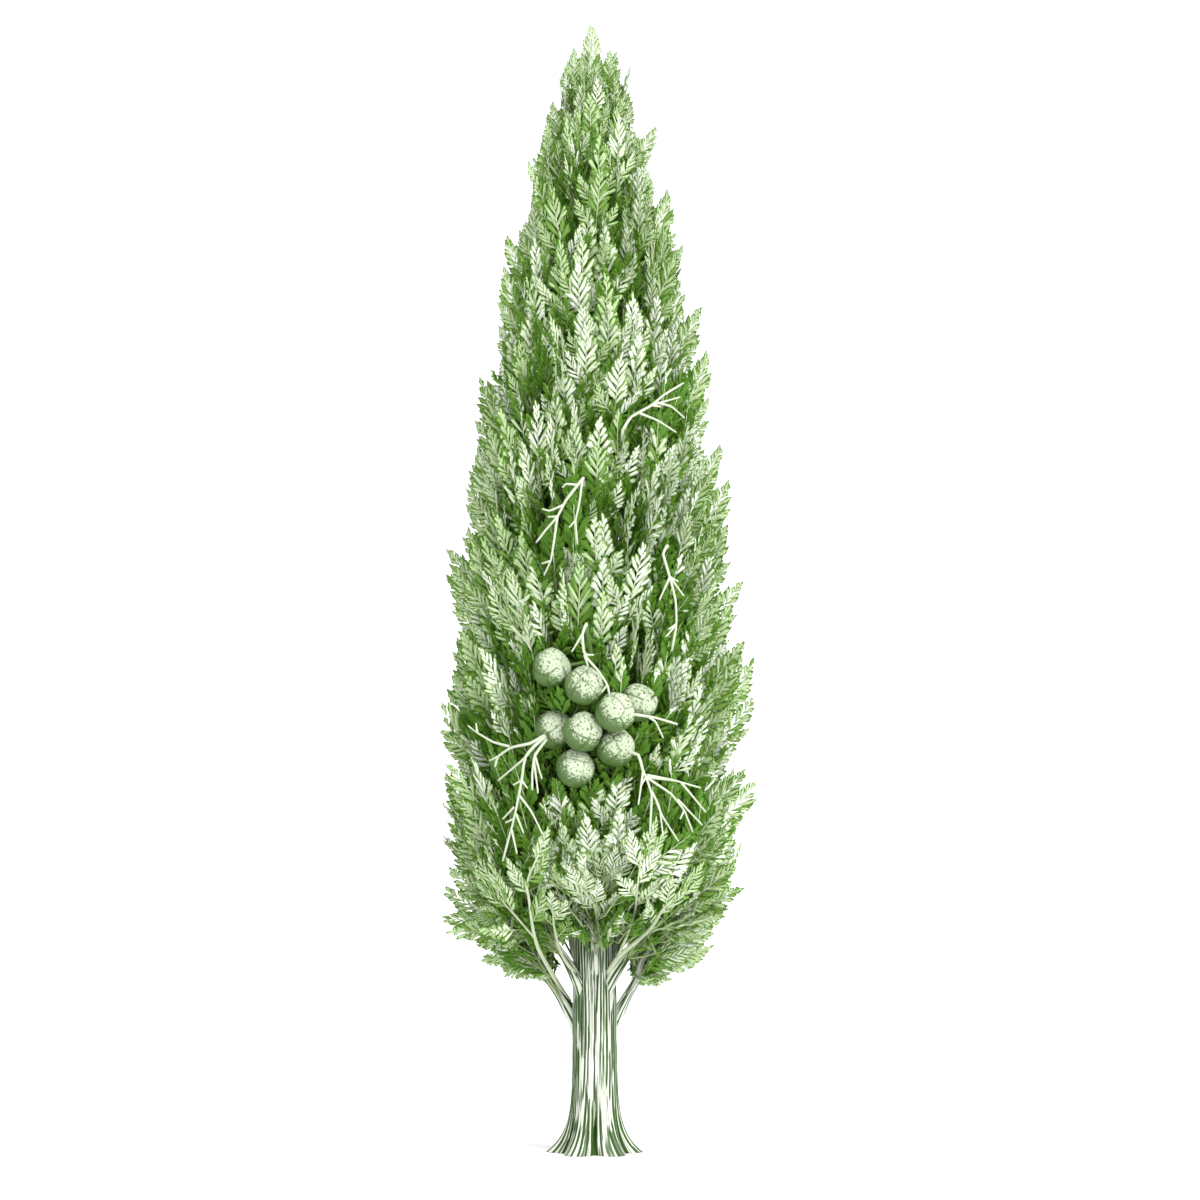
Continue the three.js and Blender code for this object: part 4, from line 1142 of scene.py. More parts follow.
def twigs_on(face, traits, scale=1):
    """Twigs from places on the face of the heart, whose size follows the crown's width."""
    width = crown_radius(face[:, 2]) / CROWN_RADIUS
    size = scale * lerp(TOP_SIZE, 1, width) * lerp(*TWIG_SIZES, traits[:, 1])
    bearing = np.radians(bearing_of(face) + (traits[:, 0] - 0.5) * TWIG_TURN)
    reach = lerp(*REACH, traits[:, 2] ** REACH_POWER) + swelling(face + TWIG_LENGTH * UP)
    lean = lean_to_outline(face, REACH_OF_TWIG * size - ROOT_DOWN, reach)
    return grow_twigs(face, bearing, lean, size, traits)


def mass_twigs(mass):
    """The twigs of one mass: one for each share of its part of the crown's surface."""
    middle = (mass["floor"] + mass["roof"]) / 2
    width = 2 * np.radians(mass["half"]) * crown_radius(sweep_height(middle, core_edge(middle)))
    low, high = (sweep_height(start, core_edge(start)) for start in (mass["floor"], mass["roof"]))
    count = round(float(width * (high - low)) / AREA_PER_TWIG)
    a, b, traits = scattered(mass["seed"], count, TWIG_TRAITS)
    b = b ** (LOW_BIAS if mass["tier"] == 0 else 1)
    return twigs_on(core_point(mass, lerp(FACE_SIDE, 1 - FACE_SIDE, a), b * FACE_SHARE, 1), traits)


def skirt_twigs(mass):
    """Short twigs in a fan under a low mass, from upright to sideways, each as long as the way to the
    outline. The further out a twig grows, the further it leans."""
    a, b, traits = scattered(mass["seed"] + SKIRT_SEED, SKIRT_TWIGS, TWIG_TRAITS)
    start = mass["floor"] + CORE_OVER_BOUGH * lerp(SKIRT_LEVEL, 1, traits[:, 1])
    r = lerp(SKIRT_INNER, core_edge(start), b**SKIRT_POWER)
    face = polar(r, mass["bearing"] + mass["half"] * (2 * a - 1), sweep_height(start, r))
    lean = np.radians(lerp(*SKIRT_LEANS, lerp(b, traits[:, 0], SKIRT_VARIED)))
    way = crown_radius(face[:, 2] + SKIRT_RISE) + lerp(*SKIRT_REACH, traits[:, 2]) - r
    size = np.clip(way / np.sin(lean) / REACH_OF_TWIG, *SKIRT_SIZES)
    return grow_twigs(face, np.radians(bearing_of(face)), lean, size, traits)


def fan_twigs(mass):
    """Twigs over the face of a low mass, upright in its middle and sideways at its edges."""
    a, b, traits = scattered(mass["seed"] + FAN_SEED, FAN_TWIGS, TWIG_TRAITS)
    z = mass["floor"] + lerp(*FAN_LEVELS, b)
    r = crown_radius(z) - FAN_INSET * (1 + traits[:, 1])
    side = 2 * a - 1
    face = polar(r, mass["bearing"] + mass["half"] * side * FAN_WIDTH, z)
    bearing = np.radians(bearing_of(face) + FAN_TURN * np.sign(side))
    lean = np.radians(lerp(*FAN_LEANS, np.abs(side)))
    return grow_twigs(face, bearing, lean, lerp(*FAN_SIZES, traits[:, 2]), traits, (1, 1))


def leader_twigs():
    """Twigs round the leader, which carries the trunk's line on. They are shorter towards the top."""
    a, b, traits = scattered(LEADER_SEED, LEADER_TWIGS, TWIG_TRAITS)
    z = LEADER_FOOT + LEADER_HEART * b * LEADER_SHARE
    scale = np.minimum(LEADER_SIZE, (LEADER_TOP - z) / REACH_OF_TWIG / LEADER_ROOM)
    return twigs_on(polar(np.maximum(core_radius(z), TRUNK_TIP_RADIUS), FRONT + 360 * a, z), traits, scale)


def crest_twigs():
    """Upright twigs one above another on the leader, turned front and side by turns."""
    tips = np.array(CREST_TIPS)
    count = len(tips)
    upright = np.tile(UP, (count, 1))
    length = REACH_OF_TWIG * CREST_SIZE
    return {
        "base": np.stack([axis_x(tips), 0 * tips, tips - length], -1),
        "first": upright,
        "last": upright,
        "length": np.full(count, length),
        "across": np.where((np.arange(count) % 2 == 0)[:, None], [1.0, 0.0, 0.0], [0.0, 1.0, 0.0]),
        "size": np.full(count, CREST_SIZE),
        "fans": np.radians(np.tile([0, CREST_FAN, -CREST_FAN], (count, 1))),
    }


def branches_to(twigs, limb):
    """Branches from a limb to the roots of twigs: bearing and bowl change evenly as the radius grows."""
    root = twigs["base"]
    r = radius_of(root)
    fork = r * lerp(*FORKS, twigs["size"] % SIZE_DIGITS / SIZE_DIGITS)
    origin = limb[np.abs(radius_of(limb)[None] - fork[:, None]).argmin(1)]
    t = np.linspace(0, 1, BRANCH_STATIONS)
    path_r = lerp(radius_of(origin)[:, None], r[:, None], t)
    turn = signed_turn(bearing_of(root) - bearing_of(origin))
    bearing = bearing_of(origin)[:, None] + turn[:, None] * t**FORK_CURVE
    from_start = sweep_start(origin[:, 2], radius_of(origin))[:, None]
    start = lerp(from_start, sweep_start(root[:, 2], r)[:, None], t)
    return polar(path_r, bearing, sweep_height(start, path_r))


def join_arcs(parts):
    """One set of arcs from several."""
    return {key: np.concatenate([part[key] for part in parts]) for key in parts[0]}


limb_paths = []
limb_radii = []
branch_parts = []
twig_parts = []
for i, mass in enumerate(masses):
    grown = mass_twigs(mass)
    if mass["tier"] == 0:
        limb = bough_paths[i]
        grown = join_arcs([grown, skirt_twigs(mass), fan_twigs(mass)])
    else:
        start = lerp(mass["floor"], mass["roof"], LIMB_LEVEL)
        edge = core_edge(start)
        reach = np.linspace(trunk_radius(start) / 2, edge * LIMB_REACH, LIMB_STATIONS)
        limb = polar(reach, mass["bearing"], sweep_height(start, reach))
        limb_paths.append(limb)
        limb_radii.append(LIMB_RADIUS * lerp(*LIMB_SIZES, edge) * np.linspace(1, LIMB_TIP, LIMB_STATIONS))
    branch_parts.append(branches_to(grown, limb))
    twig_parts.append(grown)
    mass["twigs"] = len(grown["size"])
branches = np.concatenate(branch_parts)
twigs = join_arcs([*twig_parts, leader_twigs(), crest_twigs()])
twig_share = TWIG_LENGTH / REACH_OF_TWIG

# Foliage
# Flat feathered sprays of scale leaves on slender green shoots, three to a twig. A spray has blunt narrow
#  fingers by turns to its two sides, over a layer of leaves in painted shade, which shows between them. All
#  but the plumes on the face limbs keep clear of the cones, the bare twigs and the bare parts of the boughs.
PINNAE = 13
SPRAY_FORMS = 8
FORM_SEED = 60
FOLIAGE_SEED = 11
FINGER_OUTLINE = ((0, 0.4), (0.45, 1), (0.84, 0.95), (0.96, 0.55), (1, 0))
FINGER_PLACES = (0.06, 0.85)  # of the first and the last along the shoot
FINGER_TURNS = (46, 25)
FINGER_LENGTH = 0.42  # of the spray's length, and the same unit below
FINGER_BREADTH = 0.067
FINGER_THICKNESS = 0.5
FINGER_BEND = 0.14
FINGER_WIDTHS = (1.12, 0.6)  # shares of the breadth at a spray's foot and tip
FINGER_TILTS = (-0.16, 0.3)
LONGEST_AT = 0.25
FIRST_LENGTH = 0.6
SHORTENING = 0.75
PLACES_OFF = (-0.015, 0.015)
TURNS_OFF = (-6, 6)  # degrees
LENGTHS_VARIED = (0.8, 1.15)
END_FINGER = (0.77, 0.23)  # place and length
END_TURNS = (-0.04, 0.04)
TOOTH_PLACE = 0.5  # along its finger
TOOTH_SIZE = 0.42
TOOTH_WIDTH = 0.8
TOOTH_LIMIT = 0.5
TOOTH_SHARE = 0.7
TOOTH_TURNS = (14, 26)
TOOTH_TILT = 0.1
UNDER_LEAF = np.array([(-0.05, 0, 0.1), (0.8, 1, -0.1), (0.8, -1, -0.1), (1.12, 0, 0.1)])
UNDER_FACES = np.array([(0, 1, 3), (0, 3, 2), (0, 2, 1), (3, 1, 2)])
UNDER_BREADTH = 0.104
TONES = {  # plain colours, from the lightest spray to the deepest
    "leaf_pale": (0.78, 0.84, 0.72),
    "leaf_light": (0.60, 0.70, 0.49),
    "leaf_mid": (0.42, 0.55, 0.28),
    "leaf_deep": (0.17, 0.30, 0.06),
    "leaf_inner": (0.092, 0.220, 0.015),
    "leaf_shade": (0.076, 0.195, 0.011),
}
MID, DEEP, INNER, SHADE = range(2, len(TONES))
LEAF_ROUGHNESS = 0.62
LEAF_GLOSS = 0.3
TONE_SHARES = (0.34, 0.4, 0.26)
LIT_FROM = 0.3  # of the sprays to the right of this, the next share is a tone paler
LIT_SHARE = 1
VARIED_SHARE = 0.12  # of the fingers are a tone deeper
FOOT_OF_SPRAY = 0.2  # so are those below this
DEEPER_FROM = 8.6  # above this more and more sprays are a tone deeper
DEEPER_OVER = 1.6
DEEPER_SHARE = 0.7
EDGE_SIDE = 0.72  # share of its radius that a spray at the side of the front view stands across
EDGE_REACH = -0.04  # a spray there that ends beyond this from the outline is dealt the mid tone
SHADE_REACH = 0.11
SIDE_SIZE = 0.76
SIDE_KNOTS = (0.42, 0.64)
SIDE_BEND = 0.3  # a side spray turns back to this share of its fan
PLUMES = ((0.45, 36), (0.56, -36), (0.68, 34), (0.8, -34), (0.92, 28), (1, 0))  # share of the limb, degrees
PLUME_RISE = np.array([0, 0, 0.35])
PLUME_LENGTH = 0.56
PLUME_TIP = 0.8
PLUME_MIDDLE = 0.05  # the plumes about this place across, to the next distance from it, are a tone paler: a painted highlight
PLUME_HIGHLIGHT_REACH = 0.42
PLUME_LOWEST = 2.3
PLUME_LIT_FROM = 2.42
PLUME_CLEAR = 0.1
PLUME_SHARES = (0.1, 0.5, 0.9)  # where along a plume other leaves keep clear of it
PLUME_FRONT = 0.02
TWIG_CLEAR = 0.045
BOUGH_CLEAR = 0.05
BOUGH_CLEAR_TOP = 2.55
BOUGH_CLEAR_STEP = 4
CONE_CLEAR = 1.1
CONE_SHADE = 1.65
OUTLINE_SHARE = 1.04
OUTLINE_SPARE = (0.24, 0.48)  # beyond it in the crown, and at its foot
OUTLINE_FOOT = 2.5
TIP_SPARE = 0.25  # near the crown's tip, as a share of the way down from it
TRUNK_CLEAR = 0.03
FORK_CLEAR = 0.44  # no leaf grows this near to the axis below the next height
FORK_TOP = 2.12
LEAF_FOOT = 1.7
# Ovals of the front view through which the sky shows, by their middles across and up, and their half sizes.
SKY_WINDOWS = np.array([(-0.315, 1.84, 0.1, 0.21), (0.33, 1.8, 0.09, 0.23), (-0.24, 2.18, 0.035, 0.15)])
SCRAP_SHARE = 0.25  # a spray that keeps no more of its fingers than this is left out
BOX_SPARE = 0.025  # leaves stay this near to the solid model's box, as a share of its sides
SPRAY_LEVELS = (0, 2.65, 3.3, 4.2, 5.2, 6.3, 7.6, 9.2, HEIGHT + 1)


def ridged_finger(half):
    """One finger's corners, from the half outline of along and side: its edge, mirrored, with a ridge point
    above and one below. The third number is the height as a share of the thickness."""
    mirrored = [(u, -v) for u, v in half[::-1] if v > 0]
    edge = [(u, v, 0) for u, v in (*half, *mirrored)]
    ring = np.arange(len(edge))
    faces = [fan_faces(ring, len(edge), True), fan_faces(ring, len(edge) + 1, False)]
    return np.array([*edge, (0.5, 0, 0.5), (0.5, 0, -0.5)]), np.concatenate(faces)


def spray_form(seed):
    """Fingers of one spray laid out in its plane, as shares of its length: for each its place along and
    beside the shoot, its turn from it, its length, its share of the full breadth and its tilt out of the
    plane. The fingers are longest at a quarter of the way and get shorter by a power of the share left to
    the end, where the last carries on the shoot. Most of the long ones carry a short tooth on their outer
    side."""
    random = np.random.default_rng(seed)
    k = np.arange(PINNAE)
    place = lerp(*FINGER_PLACES, k / (PINNAE - 1)) + random.uniform(*PLACES_OFF, PINNAE)
    hand = np.where(k % 2 == 0, 1.0, -1.0)
    turn = np.radians(lerp(*FINGER_TURNS, place) + random.uniform(*TURNS_OFF, PINNAE)) * hand
    first = lerp(FIRST_LENGTH, 1, np.minimum(place / LONGEST_AT, 1))
    size = FINGER_LENGTH * (1 - place) ** SHORTENING * first * random.uniform(*LENGTHS_VARIED, PINNAE)
    wide = lerp(*FINGER_WIDTHS, place)
    tilt = random.uniform(*FINGER_TILTS, PINNAE)
    toothed = (place < TOOTH_LIMIT) & (random.random(PINNAE) < TOOTH_SHARE)
    along = place + TOOTH_PLACE * size * np.cos(turn)
    beside = TOOTH_PLACE * size * np.sin(turn) * (1 - FINGER_BEND)
    tooth_turn = turn + np.radians(random.uniform(*TOOTH_TURNS, PINNAE)) * hand
    end_place, end_size = END_FINGER
    return {
        "u": np.concatenate([place, along[toothed], [end_place]]),
        "v": np.concatenate([0 * place, beside[toothed], [0]]),
        "turn": np.concatenate([turn, tooth_turn[toothed], [random.uniform(*END_TURNS)]]),
        "size": np.concatenate([size, TOOTH_SIZE * size[toothed], [end_size]]),
        "wide": np.concatenate([wide, TOOTH_WIDTH * wide[toothed], [FINGER_WIDTHS[1]]]),
        "tilt": np.concatenate([tilt, tilt[toothed] + TOOTH_TILT, [0]]),
    }


def normal_to(vectors, axis):
    """The parts of some vectors square to an axis, made one long."""
    return normalised(vectors - axis * np.sum(vectors * axis, -1, keepdims=True))


def arc_run(first, last, t):
    """How far an arc one long has come at share t, as its heading turns evenly from its first to its last."""
    return first * (t - t * t / 2) + last * t * t / 2


def arc_points(arc, shares):
    """Points of each arc at some shares of its length."""
    first, last, length = arc["first"][:, None], arc["last"][:, None], arc["length"][:, None, None]
    return arc["base"][:, None] + length * arc_run(first, last, np.asarray(shares)[:, None])


def lay_fingers(arc, fingers, corners, breadth):
    """The fingers of a spray form on every spray, each at its share along the bent shoot and turned with it,
    and bent forward by the square of the way along it. Gives points by finger and corner."""
    length = arc["length"][:, None, None]
    t = fingers["u"][None, :, None]
    first, last = arc["first"][:, None], arc["last"][:, None]
    heading = normalised(lerp(first, last, t))
    across = normal_to(arc["across"][:, None], heading)
    normal = np.cross(heading, across)
    base = arc["base"][:, None] + length * (arc_run(first, last, t) + fingers["v"][:, None] * across)
    turn, tilt, size, wide = (fingers[key][:, None] for key in ("turn", "tilt", "size", "wide"))
    run = normalised(swung(heading, across, turn) + normal * tilt)
    over = normalised(np.cross(normal, run))
    u, v, w = corners.T[:, None, None, :, None]
    bent = u * run[:, :, None] - FINGER_BEND * np.sign(turn)[..., None] * u * u * over[:, :, None]
    broad = v / 2 * over[:, :, None] + w * FINGER_THICKNESS * np.cross(run, over)[:, :, None]
    points = base[:, :, None] + (length * size)[:, :, None] * bent
    points = points + breadth * wide[..., None] * length[..., None] * broad
    return points.reshape(-1, len(corners), 3)


def pick(arc, chosen):
    """Some of a set of arcs."""
    return {key: value[chosen] for key, value in arc.items()}


def twig_sprays(twigs):
    """The three sprays of each twig, as arcs that start on it: one carries on its line, and the side ones
    leave it at their knots and bend back towards its heading."""
    sprays = []
    for fan, (knot, size) in enumerate(((1, 1), *((knot, SIDE_SIZE) for knot in SIDE_KNOTS))):
        t = knot * twig_share
        heading = normalised(lerp(twigs["first"], twigs["last"], t))
        across = normal_to(twigs["across"], heading)
        angle = twigs["fans"][:, fan, None]
        sprays.append({
            "base": arc_points(twigs, [t])[:, 0],
            "first": swung(heading, across, angle),
            "last": normalised(swung(twigs["last"], across, angle * SIDE_BEND)),
            "length": SPRAY_LENGTH * size * twigs["size"],
            "across": across,
        })
    return join_arcs(sprays)


def plumes_on(paths):
    """Sprays along the limbs on the crown's face, to each side by turns and one at the end."""
    sprays = []
    for share, fan in PLUMES:
        k = round(share * (FACE_LIMB_STATIONS - 2))
        heading = normalised(paths[:, k + 1] - paths[:, k])
        bearing = np.radians(bearing_of(paths[:, k]))
        across = normal_to(outward(bearing + np.pi / 2), heading)
        angle = math.radians(fan)
        sprays.append({
            "base": paths[:, k],
            "first": swung(heading, across, angle),
            "last": normalised(swung(heading, across, angle / 2) + PLUME_RISE),
            "length": np.full(len(paths), PLUME_LENGTH * lerp(1, PLUME_TIP, share)),
            "across": across,
        })
    return join_arcs(sprays)


def front_gap(middle, paths, reach, behind):
    """Distance in the front view from leaves to the nearest path, up to reach, which also stands for leaves
    that lie further behind it than the last number."""
    gap = np.full(len(middle), reach)
    for path in paths:
        low, high = path.min(0) - reach, path.max(0) + reach
        inside = (middle > low) & (middle < high)
        near = np.flatnonzero(inside[:, 0] & inside[:, 2] & (middle[:, 1] < path[:, 1].max() + behind))
        a, step = path[:-1], np.diff(path, axis=0)
        offset = middle[near][:, None] - a
        t = np.sum(offset[..., [0, 2]] * step[:, [0, 2]], -1) / np.sum(step[:, [0, 2]] ** 2, -1)
        rest = offset - np.clip(t, 0, 1)[..., None] * step
        apart = np.where(rest[..., 1] > behind, reach, np.hypot(rest[..., 0], rest[..., 2]))
        gap[near] = np.minimum(gap[near], apart.min(1))
    return gap


def in_windows(points):
    """Which points the camera sees before or behind the sky that shows beside the trunk."""
    nearer = -points[..., 1] / VIEW_DISTANCE
    across = points[..., 0] / (1 - nearer)
    up = (points[..., 2] + points[..., 1] * math.tan(VIEW_ELEVATION) - nearer * aim.z) / (1 - nearer)
    offset = np.stack([across, up], -1)[..., None, :] - SKY_WINDOWS[:, :2]
    return (np.linalg.norm(offset / SKY_WINDOWS[:, 2:], axis=-1) < 1).any(-1)


def inside_crown(points):
    """Which leaves touch no trunk, and stay inside the crown's outline and out of the windows."""
    middle = points.mean(1)
    r, z = radius_of(middle), middle[:, 2]
    spare = lerp(*OUTLINE_SPARE, ramp(z, OUTLINE_FOOT, CROWN_FOOT)) + swelling(middle)
    spare = np.minimum(spare, TIP_SPARE * (HEIGHT - z))
    keep = (r > trunk_radius(z) + TRUNK_CLEAR) | (z > TRUNK_TOP)
    keep &= (z > LEAF_FOOT) & ((r > FORK_CLEAR) | (z > FORK_TOP))
    keep &= (r < crown_radius(z) * OUTLINE_SHARE + spare) & (points[..., 2].max(1) < HEIGHT)
    return keep & ~in_windows(middle) & ((points > leaf_low) & (points < leaf_high)).all((1, 2))


def stays_clear(points):
    """Which leaves inside the crown touch no cone, bare twig or bare part of a bough, and hide none of them
    from the front, nor the plumes on the crown's face."""
    middle = points.mean(1)
    keep = inside_crown(points)
    for centre in cone_centres:
        offset = middle - centre
        keep &= np.linalg.norm(offset, axis=1) > CONE_RADIUS * CONE_CLEAR
        keep &= (np.hypot(offset[:, 0], offset[:, 2]) > CONE_RADIUS * CONE_CLEAR) | (offset[:, 1] > 0)
    for paths, gap, behind in (
            (shown_twigs, TWIG_CLEAR, TWIG_CLEAR),
            (plume_paths, PLUME_CLEAR, -PLUME_FRONT),
            (low_boughs, BOUGH_CLEAR, BOUGH_CLEAR)):
        keep &= front_gap(middle, paths, gap, behind) >= gap
    return keep


def shaded(points):
    """Which leaves lie in the shade of the bare twigs or the cones, on the front of the crown."""
    middle = points.mean(1)
    beside = np.hypot(middle[:, None, 0] - cone_centres[:, 0], middle[:, None, 2] - cone_centres[:, 2]).min(1)
    near = front_gap(middle, shown_twigs, SHADE_REACH, CROWN_RADIUS) < SHADE_REACH
    return (near | (beside < CONE_RADIUS * CONE_SHADE)) & (middle[:, 1] < 0)


def paint_leaf(tree):
    """The small overlapping scales, in the bump."""
    tree.nodes["Principled BSDF"].inputs["Specular IOR Level"].default_value = LEAF_GLOSS
    scales = shade(tree, "TexVoronoi", "Distance", Vector=shade(tree, "TexCoord", "Object"), Scale=70)
    return {"Normal": shade(tree, "Bump", "Normal", Height=scales, Strength=0.35, Distance=0.004)}


leaf_materials = [new_material(name, colour, LEAF_ROUGHNESS, paint_leaf) for name, colour in TONES.items()]


def leaf_pieces(name, kinds, bounds, nodes_of):
    """Pieces of leaves between heights. Each kind has points by leaf and corner, the faces of one leaf, and
    the tone of each leaf."""
    for k in range(len(bounds) - 1):
        sets = []
        tones = []
        for points, faces, tone in kinds:
            level = points[..., 2].mean(1)
            chosen = (level >= bounds[k]) & (level < bounds[k + 1])
            sets.append((points[chosen].reshape(-1, 3), copied_faces(faces, chosen.sum(), points.shape[1])))
            tones.append(np.repeat(tone[chosen], len(faces)))
        new_piece(f"{name}_{k + 1}", *joined(sets), leaf_materials, "foliage", nodes_of(k),
                  tones=np.concatenate(tones), smooth=False)


def spray_leaves(arcs, form_of, tone_of, clear):
    """The leaves of some sprays by form and tone, and the share of each spray's fingers that is clear."""
    kinds = []
    leafy = np.zeros(len(form_of))
    for form in range(SPRAY_FORMS):
        chosen = form_of == form
        some = pick(arcs, chosen)
        fingers = spray_form(form + FORM_SEED)
        count = len(fingers["u"])
        over = lay_fingers(some, fingers, finger_corners, FINGER_BREADTH)
        under = lay_fingers(some, fingers, UNDER_LEAF, UNDER_BREADTH)
        varied = random.random((chosen.sum(), count)) < VARIED_SHARE
        tone = tone_of[chosen][:, None] + (fingers["u"] < FOOT_OF_SPRAY) + varied
        keep = clear(over)
        leafy[chosen] = keep.reshape(-1, count).mean(1)
        keep &= np.repeat(leafy[chosen] > SCRAP_SHARE, count)
        tone = np.minimum(tone.ravel()[keep], DEEP)
        if clear is stays_clear:
            tone[shaded(over[keep])] = SHADE
        kinds.append((over[keep], finger_faces, tone))
        # The layer under each spray is painted shade: the deep tone under the pale sprays, the shade tone
        # under the others.
        kinds.append((under[keep], UNDER_FACES, np.where(tone < MID, DEEP, SHADE)))
    return kinds, leafy


leaf_low, leaf_high = (np.array(corner) for corner in cad_box)
box_spare = BOX_SPARE * (leaf_high - leaf_low)
leaf_low, leaf_high = leaf_low - box_spare, leaf_high + box_spare
low_boughs = [path[path[:, 2] < BOUGH_CLEAR_TOP][::BOUGH_CLEAR_STEP] for path in bough_paths]
plumes = plumes_on(face_limbs)
plumes = pick(plumes, plumes["base"][:, 2] > PLUME_LOWEST)
plume_paths = arc_points(plumes, PLUME_SHARES)
plume_total = len(plume_paths)
sprays = twig_sprays(twigs)
spray_total = len(sprays["length"])
random = np.random.default_rng(FOLIAGE_SEED)
tone_of = random.choice(len(TONE_SHARES), spray_total, p=TONE_SHARES)
deeper = np.clip((sprays["base"][:, 2] - DEEPER_FROM) / DEEPER_OVER, 0, DEEPER_SHARE)
tone_of += (random.random(spray_total) < deeper) & (tone_of < MID)
tips = arc_points(sprays, [1])[:, 0]
lit = (random.random(spray_total) < LIT_SHARE) & (tips[:, 0] > LIT_FROM)
tone_of = np.maximum(tone_of - lit, 0)
at_edge = np.abs(tips[:, 0] - axis_x(tips[:, 2])) > EDGE_SIDE * radius_of(tips)
tone_of[at_edge & (radius_of(tips) > crown_radius(tips[:, 2]) + EDGE_REACH)] = MID
# Plumes near the middle are a tone paler as a painted highlight, and the lowest are deep as painted shade.
plume_tone = random.integers(0, 2, plume_total) + (np.abs(plumes["base"][:, 0] - PLUME_MIDDLE) > PLUME_HIGHLIGHT_REACH)
plume_tone[plumes["base"][:, 2] < PLUME_LIT_FROM] = DEEP
finger_corners, finger_faces = ridged_finger(FINGER_OUTLINE)
kinds, leafy = spray_leaves(sprays, random.integers(0, SPRAY_FORMS, spray_total), tone_of, stays_clear)
plume_form = np.arange(plume_total) % SPRAY_FORMS
plume_kinds, plume_leafy = spray_leaves(plumes, plume_form, plume_tone, inside_crown)
tier_nodes = [[mass["name"] for mass in masses if mass["tier"] == tier] for tier in range(len(TIER_MASSES))]
tier_nodes[-1].append("foliage_top")
leaf_pieces("sprays", kinds + plume_kinds, SPRAY_LEVELS, lambda k: tier_nodes[max(k - 1, 0)])

# Shoots and branches
# The slender pale green shoot down the middle of each spray, the twig that carries three of them, and the
# branches that join the twigs to the limbs. A stem whose leaves all gave way is left out with them.
SHOOT_RADIUS = 0.0095
SHOOT_END = 0.88
STEM_STATIONS = 5
SHOOT_COLOURS = ((0.58, 0.66, 0.44), (0.40, 0.50, 0.26))
LEAFY_SHARE = 0.5
BRANCH_RADIUS = 0.014
# painted shade: the limbs, leader, branches and twigs inside the crown are dark green, like the shade among
# the leaves
BRANCH_SHADE_COLOURS = ((0.30, 0.40, 0.17), (0.17, 0.27, 0.07))
TWIG_RADIUS = 0.0115
LEADER_ENDS = (TRUNK_TOP - 0.05, HEIGHT - 0.45)


def tapering(radius, sizes, end, stations=STEM_STATIONS):
    """Radii of limbs at their stations, from a radius times the size of each to a share of that."""
    return radius * sizes[:, None] * np.linspace(1, end, stations)


shoots = join_arcs([sprays, plumes])
shoot_paths = arc_points(shoots, np.linspace(0, SHOOT_END, STEM_STATIONS))
shoot_keep = stays_clear(shoot_paths[:, 2:]) & (np.append(leafy, 0 * plume_leafy) > LEAFY_SHARE)
shoot_keep |= np.append(0 * leafy, plume_leafy) > LEAFY_SHARE
shoot_keep &= ~in_windows(shoot_paths).any(1)
shoot_radii = tapering(SHOOT_RADIUS, shoots["length"] / SPRAY_LENGTH, end=0.45)
new_piece(
    "shoots",
    *tubes(shoot_paths[shoot_keep], shoot_radii[shoot_keep], sides=3),
    [young_bark("shoot", *SHOOT_COLOURS)],
    "foliage",
    [],
)
twig_paths = arc_points(twigs, np.linspace(0, twig_share, STEM_STATIONS))
carries = (leafy > LEAFY_SHARE).reshape(3, -1).any(0) & ~in_windows(twig_paths).any(1)
branch_keep = carries[: len(branches)] & ~in_windows(branches).any(1)
branch_radii = tapering(BRANCH_RADIUS, twigs["size"][: len(branches)], end=0.55, stations=BRANCH_STATIONS)
leader_radii = tapering(TRUNK_TIP_RADIUS, np.ones(1), end=0.25, stations=LIMB_STATIONS)
twig_radii = tapering(TWIG_RADIUS, twigs["size"], end=0.7)
leader_path = polar(np.zeros(LIMB_STATIONS), 0, np.linspace(*LEADER_ENDS, LIMB_STATIONS))
new_piece(
    "branches",
    *joined([
        tubes(limb_paths, limb_radii, sides=8),
        tubes(leader_path[None], leader_radii, sides=8),
        tubes(branches[branch_keep], branch_radii[branch_keep], sides=5),
        tubes(twig_paths[carries], twig_radii[carries], sides=4),
    ]),
    [young_bark("branch", *BRANCH_SHADE_COLOURS)],
    "bark",
    [],
)

# Inner sprays
# Older, darker sprays in the shade behind the outer ones, from near the trunk to the face of each mass, and
# along the foot of each twig.
INNER_PER_TWIG = 4
INNER_SEED = 50
INNER_TRAITS = 5
INNER_TONE_SEED = 5
INNER_FINGERS = 16
INNER_FINGER = np.array([(0, 0, 0), (0.6, 1, 1.2), (0.6, -1, 1.2), (1, 0, 0)])
INNER_FACES = np.array([(0, 2, 1), (3, 1, 2), (0, 1, 3), (0, 3, 2)])
INNER_PLACES = (0.02, 0.86)
INNER_TURNS = (46, 16)
INNER_SIZES = (0.4, 0.16)
INNER_TILTS = (0.25, -0.12)
INNER_BREADTH = 0.09
INNER_LENGTHS = (0.42, 0.62)
INNER_LEANS = (8, 66)
INNER_TURN = 100
INNER_RISE = 0.6
INNER_LOW = -0.1  # in the lowest masses the sprays start this share below the heart
INNER_HIGH = 0.97
INNER_OUT = 0.6
INNER_HUB = 0.33
INNER_OUTLINE = 0.95
INNER_DEEP_SHARE = 0.2
INNER_SPLIT = 5.5
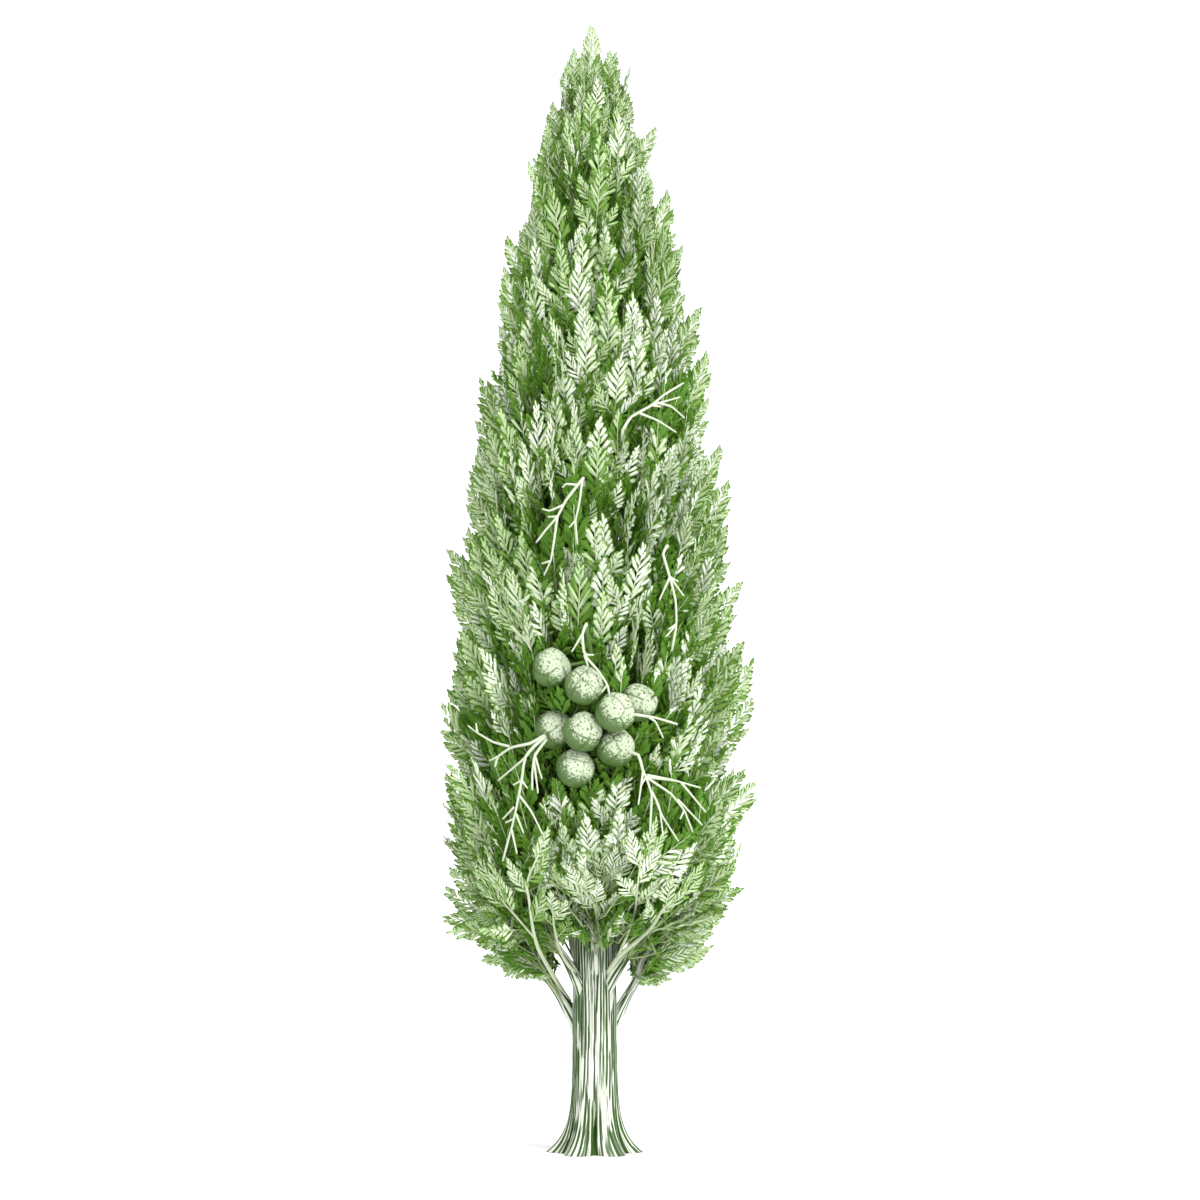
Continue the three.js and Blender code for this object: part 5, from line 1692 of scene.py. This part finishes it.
OPEN_MASSES = ("foliage_1_1", *LOW_MASSES)
TWIG_LEAFY = 1.5
inner_parts = []
for mass in masses:
    a, b, traits = scattered(mass["seed"] + INNER_SEED, mass["twigs"] * INNER_PER_TWIG, INNER_TRAITS)
    low = INNER_LOW if mass["tier"] == 0 else 0
    hub = OPEN_FOOT_RADIUS if mass["name"] in OPEN_MASSES else INNER_HUB
    base = core_point(mass, a, lerp(low, INNER_HIGH, b), traits[:, 0] ** INNER_OUT, hub)
    out = outward(np.radians(bearing_of(base) + (traits[:, 1] - 0.5) * INNER_TURN))
    heading = swung(UP, out, np.radians(lerp(*INNER_LEANS, traits[:, 2]))[:, None])
    inner_parts.append({
        "base": base,
        "first": heading,
        "last": normalised(heading + INNER_RISE * UP),
        "length": lerp(*INNER_LENGTHS, traits[:, 3]) * lerp(0.5, 1, crown_radius(base[:, 2]) / CROWN_RADIUS),
        "across": normalised(np.cross(UP, out) + (traits[:, 4:5] - 0.5) * out),
    })
twig_feet = {key: twigs[key] for key in ("base", "first", "last", "across")}
inner = join_arcs([*inner_parts, {**twig_feet, "length": TWIG_LENGTH * TWIG_LEAFY * twigs["size"]}])
k = np.arange(INNER_FINGERS)
along = k / (INNER_FINGERS - 1)
inner_form = {
    "u": lerp(*INNER_PLACES, along),
    "v": 0 * k,
    "turn": np.radians(np.where(k % 2 == 0, 1, -1) * lerp(*INNER_TURNS, along)),
    "size": lerp(*INNER_SIZES, along),
    "wide": np.ones(INNER_FINGERS),
    "tilt": np.where(k % 3 == 0, *INNER_TILTS),
}
points = lay_fingers(inner, inner_form, INNER_FINGER, INNER_BREADTH)
middle = points.mean(1)
points = points[stays_clear(points) & (radius_of(middle) < crown_radius(middle[:, 2]) * INNER_OUTLINE)]
deep = np.random.default_rng(INNER_TONE_SEED).random(len(points)) < INNER_DEEP_SHARE
inner_tone = np.where(deep, DEEP, INNER)
leaf_pieces("inner_sprays", [(points, INNER_FACES, inner_tone)], (0, INNER_SPLIT, HEIGHT), lambda k: [])
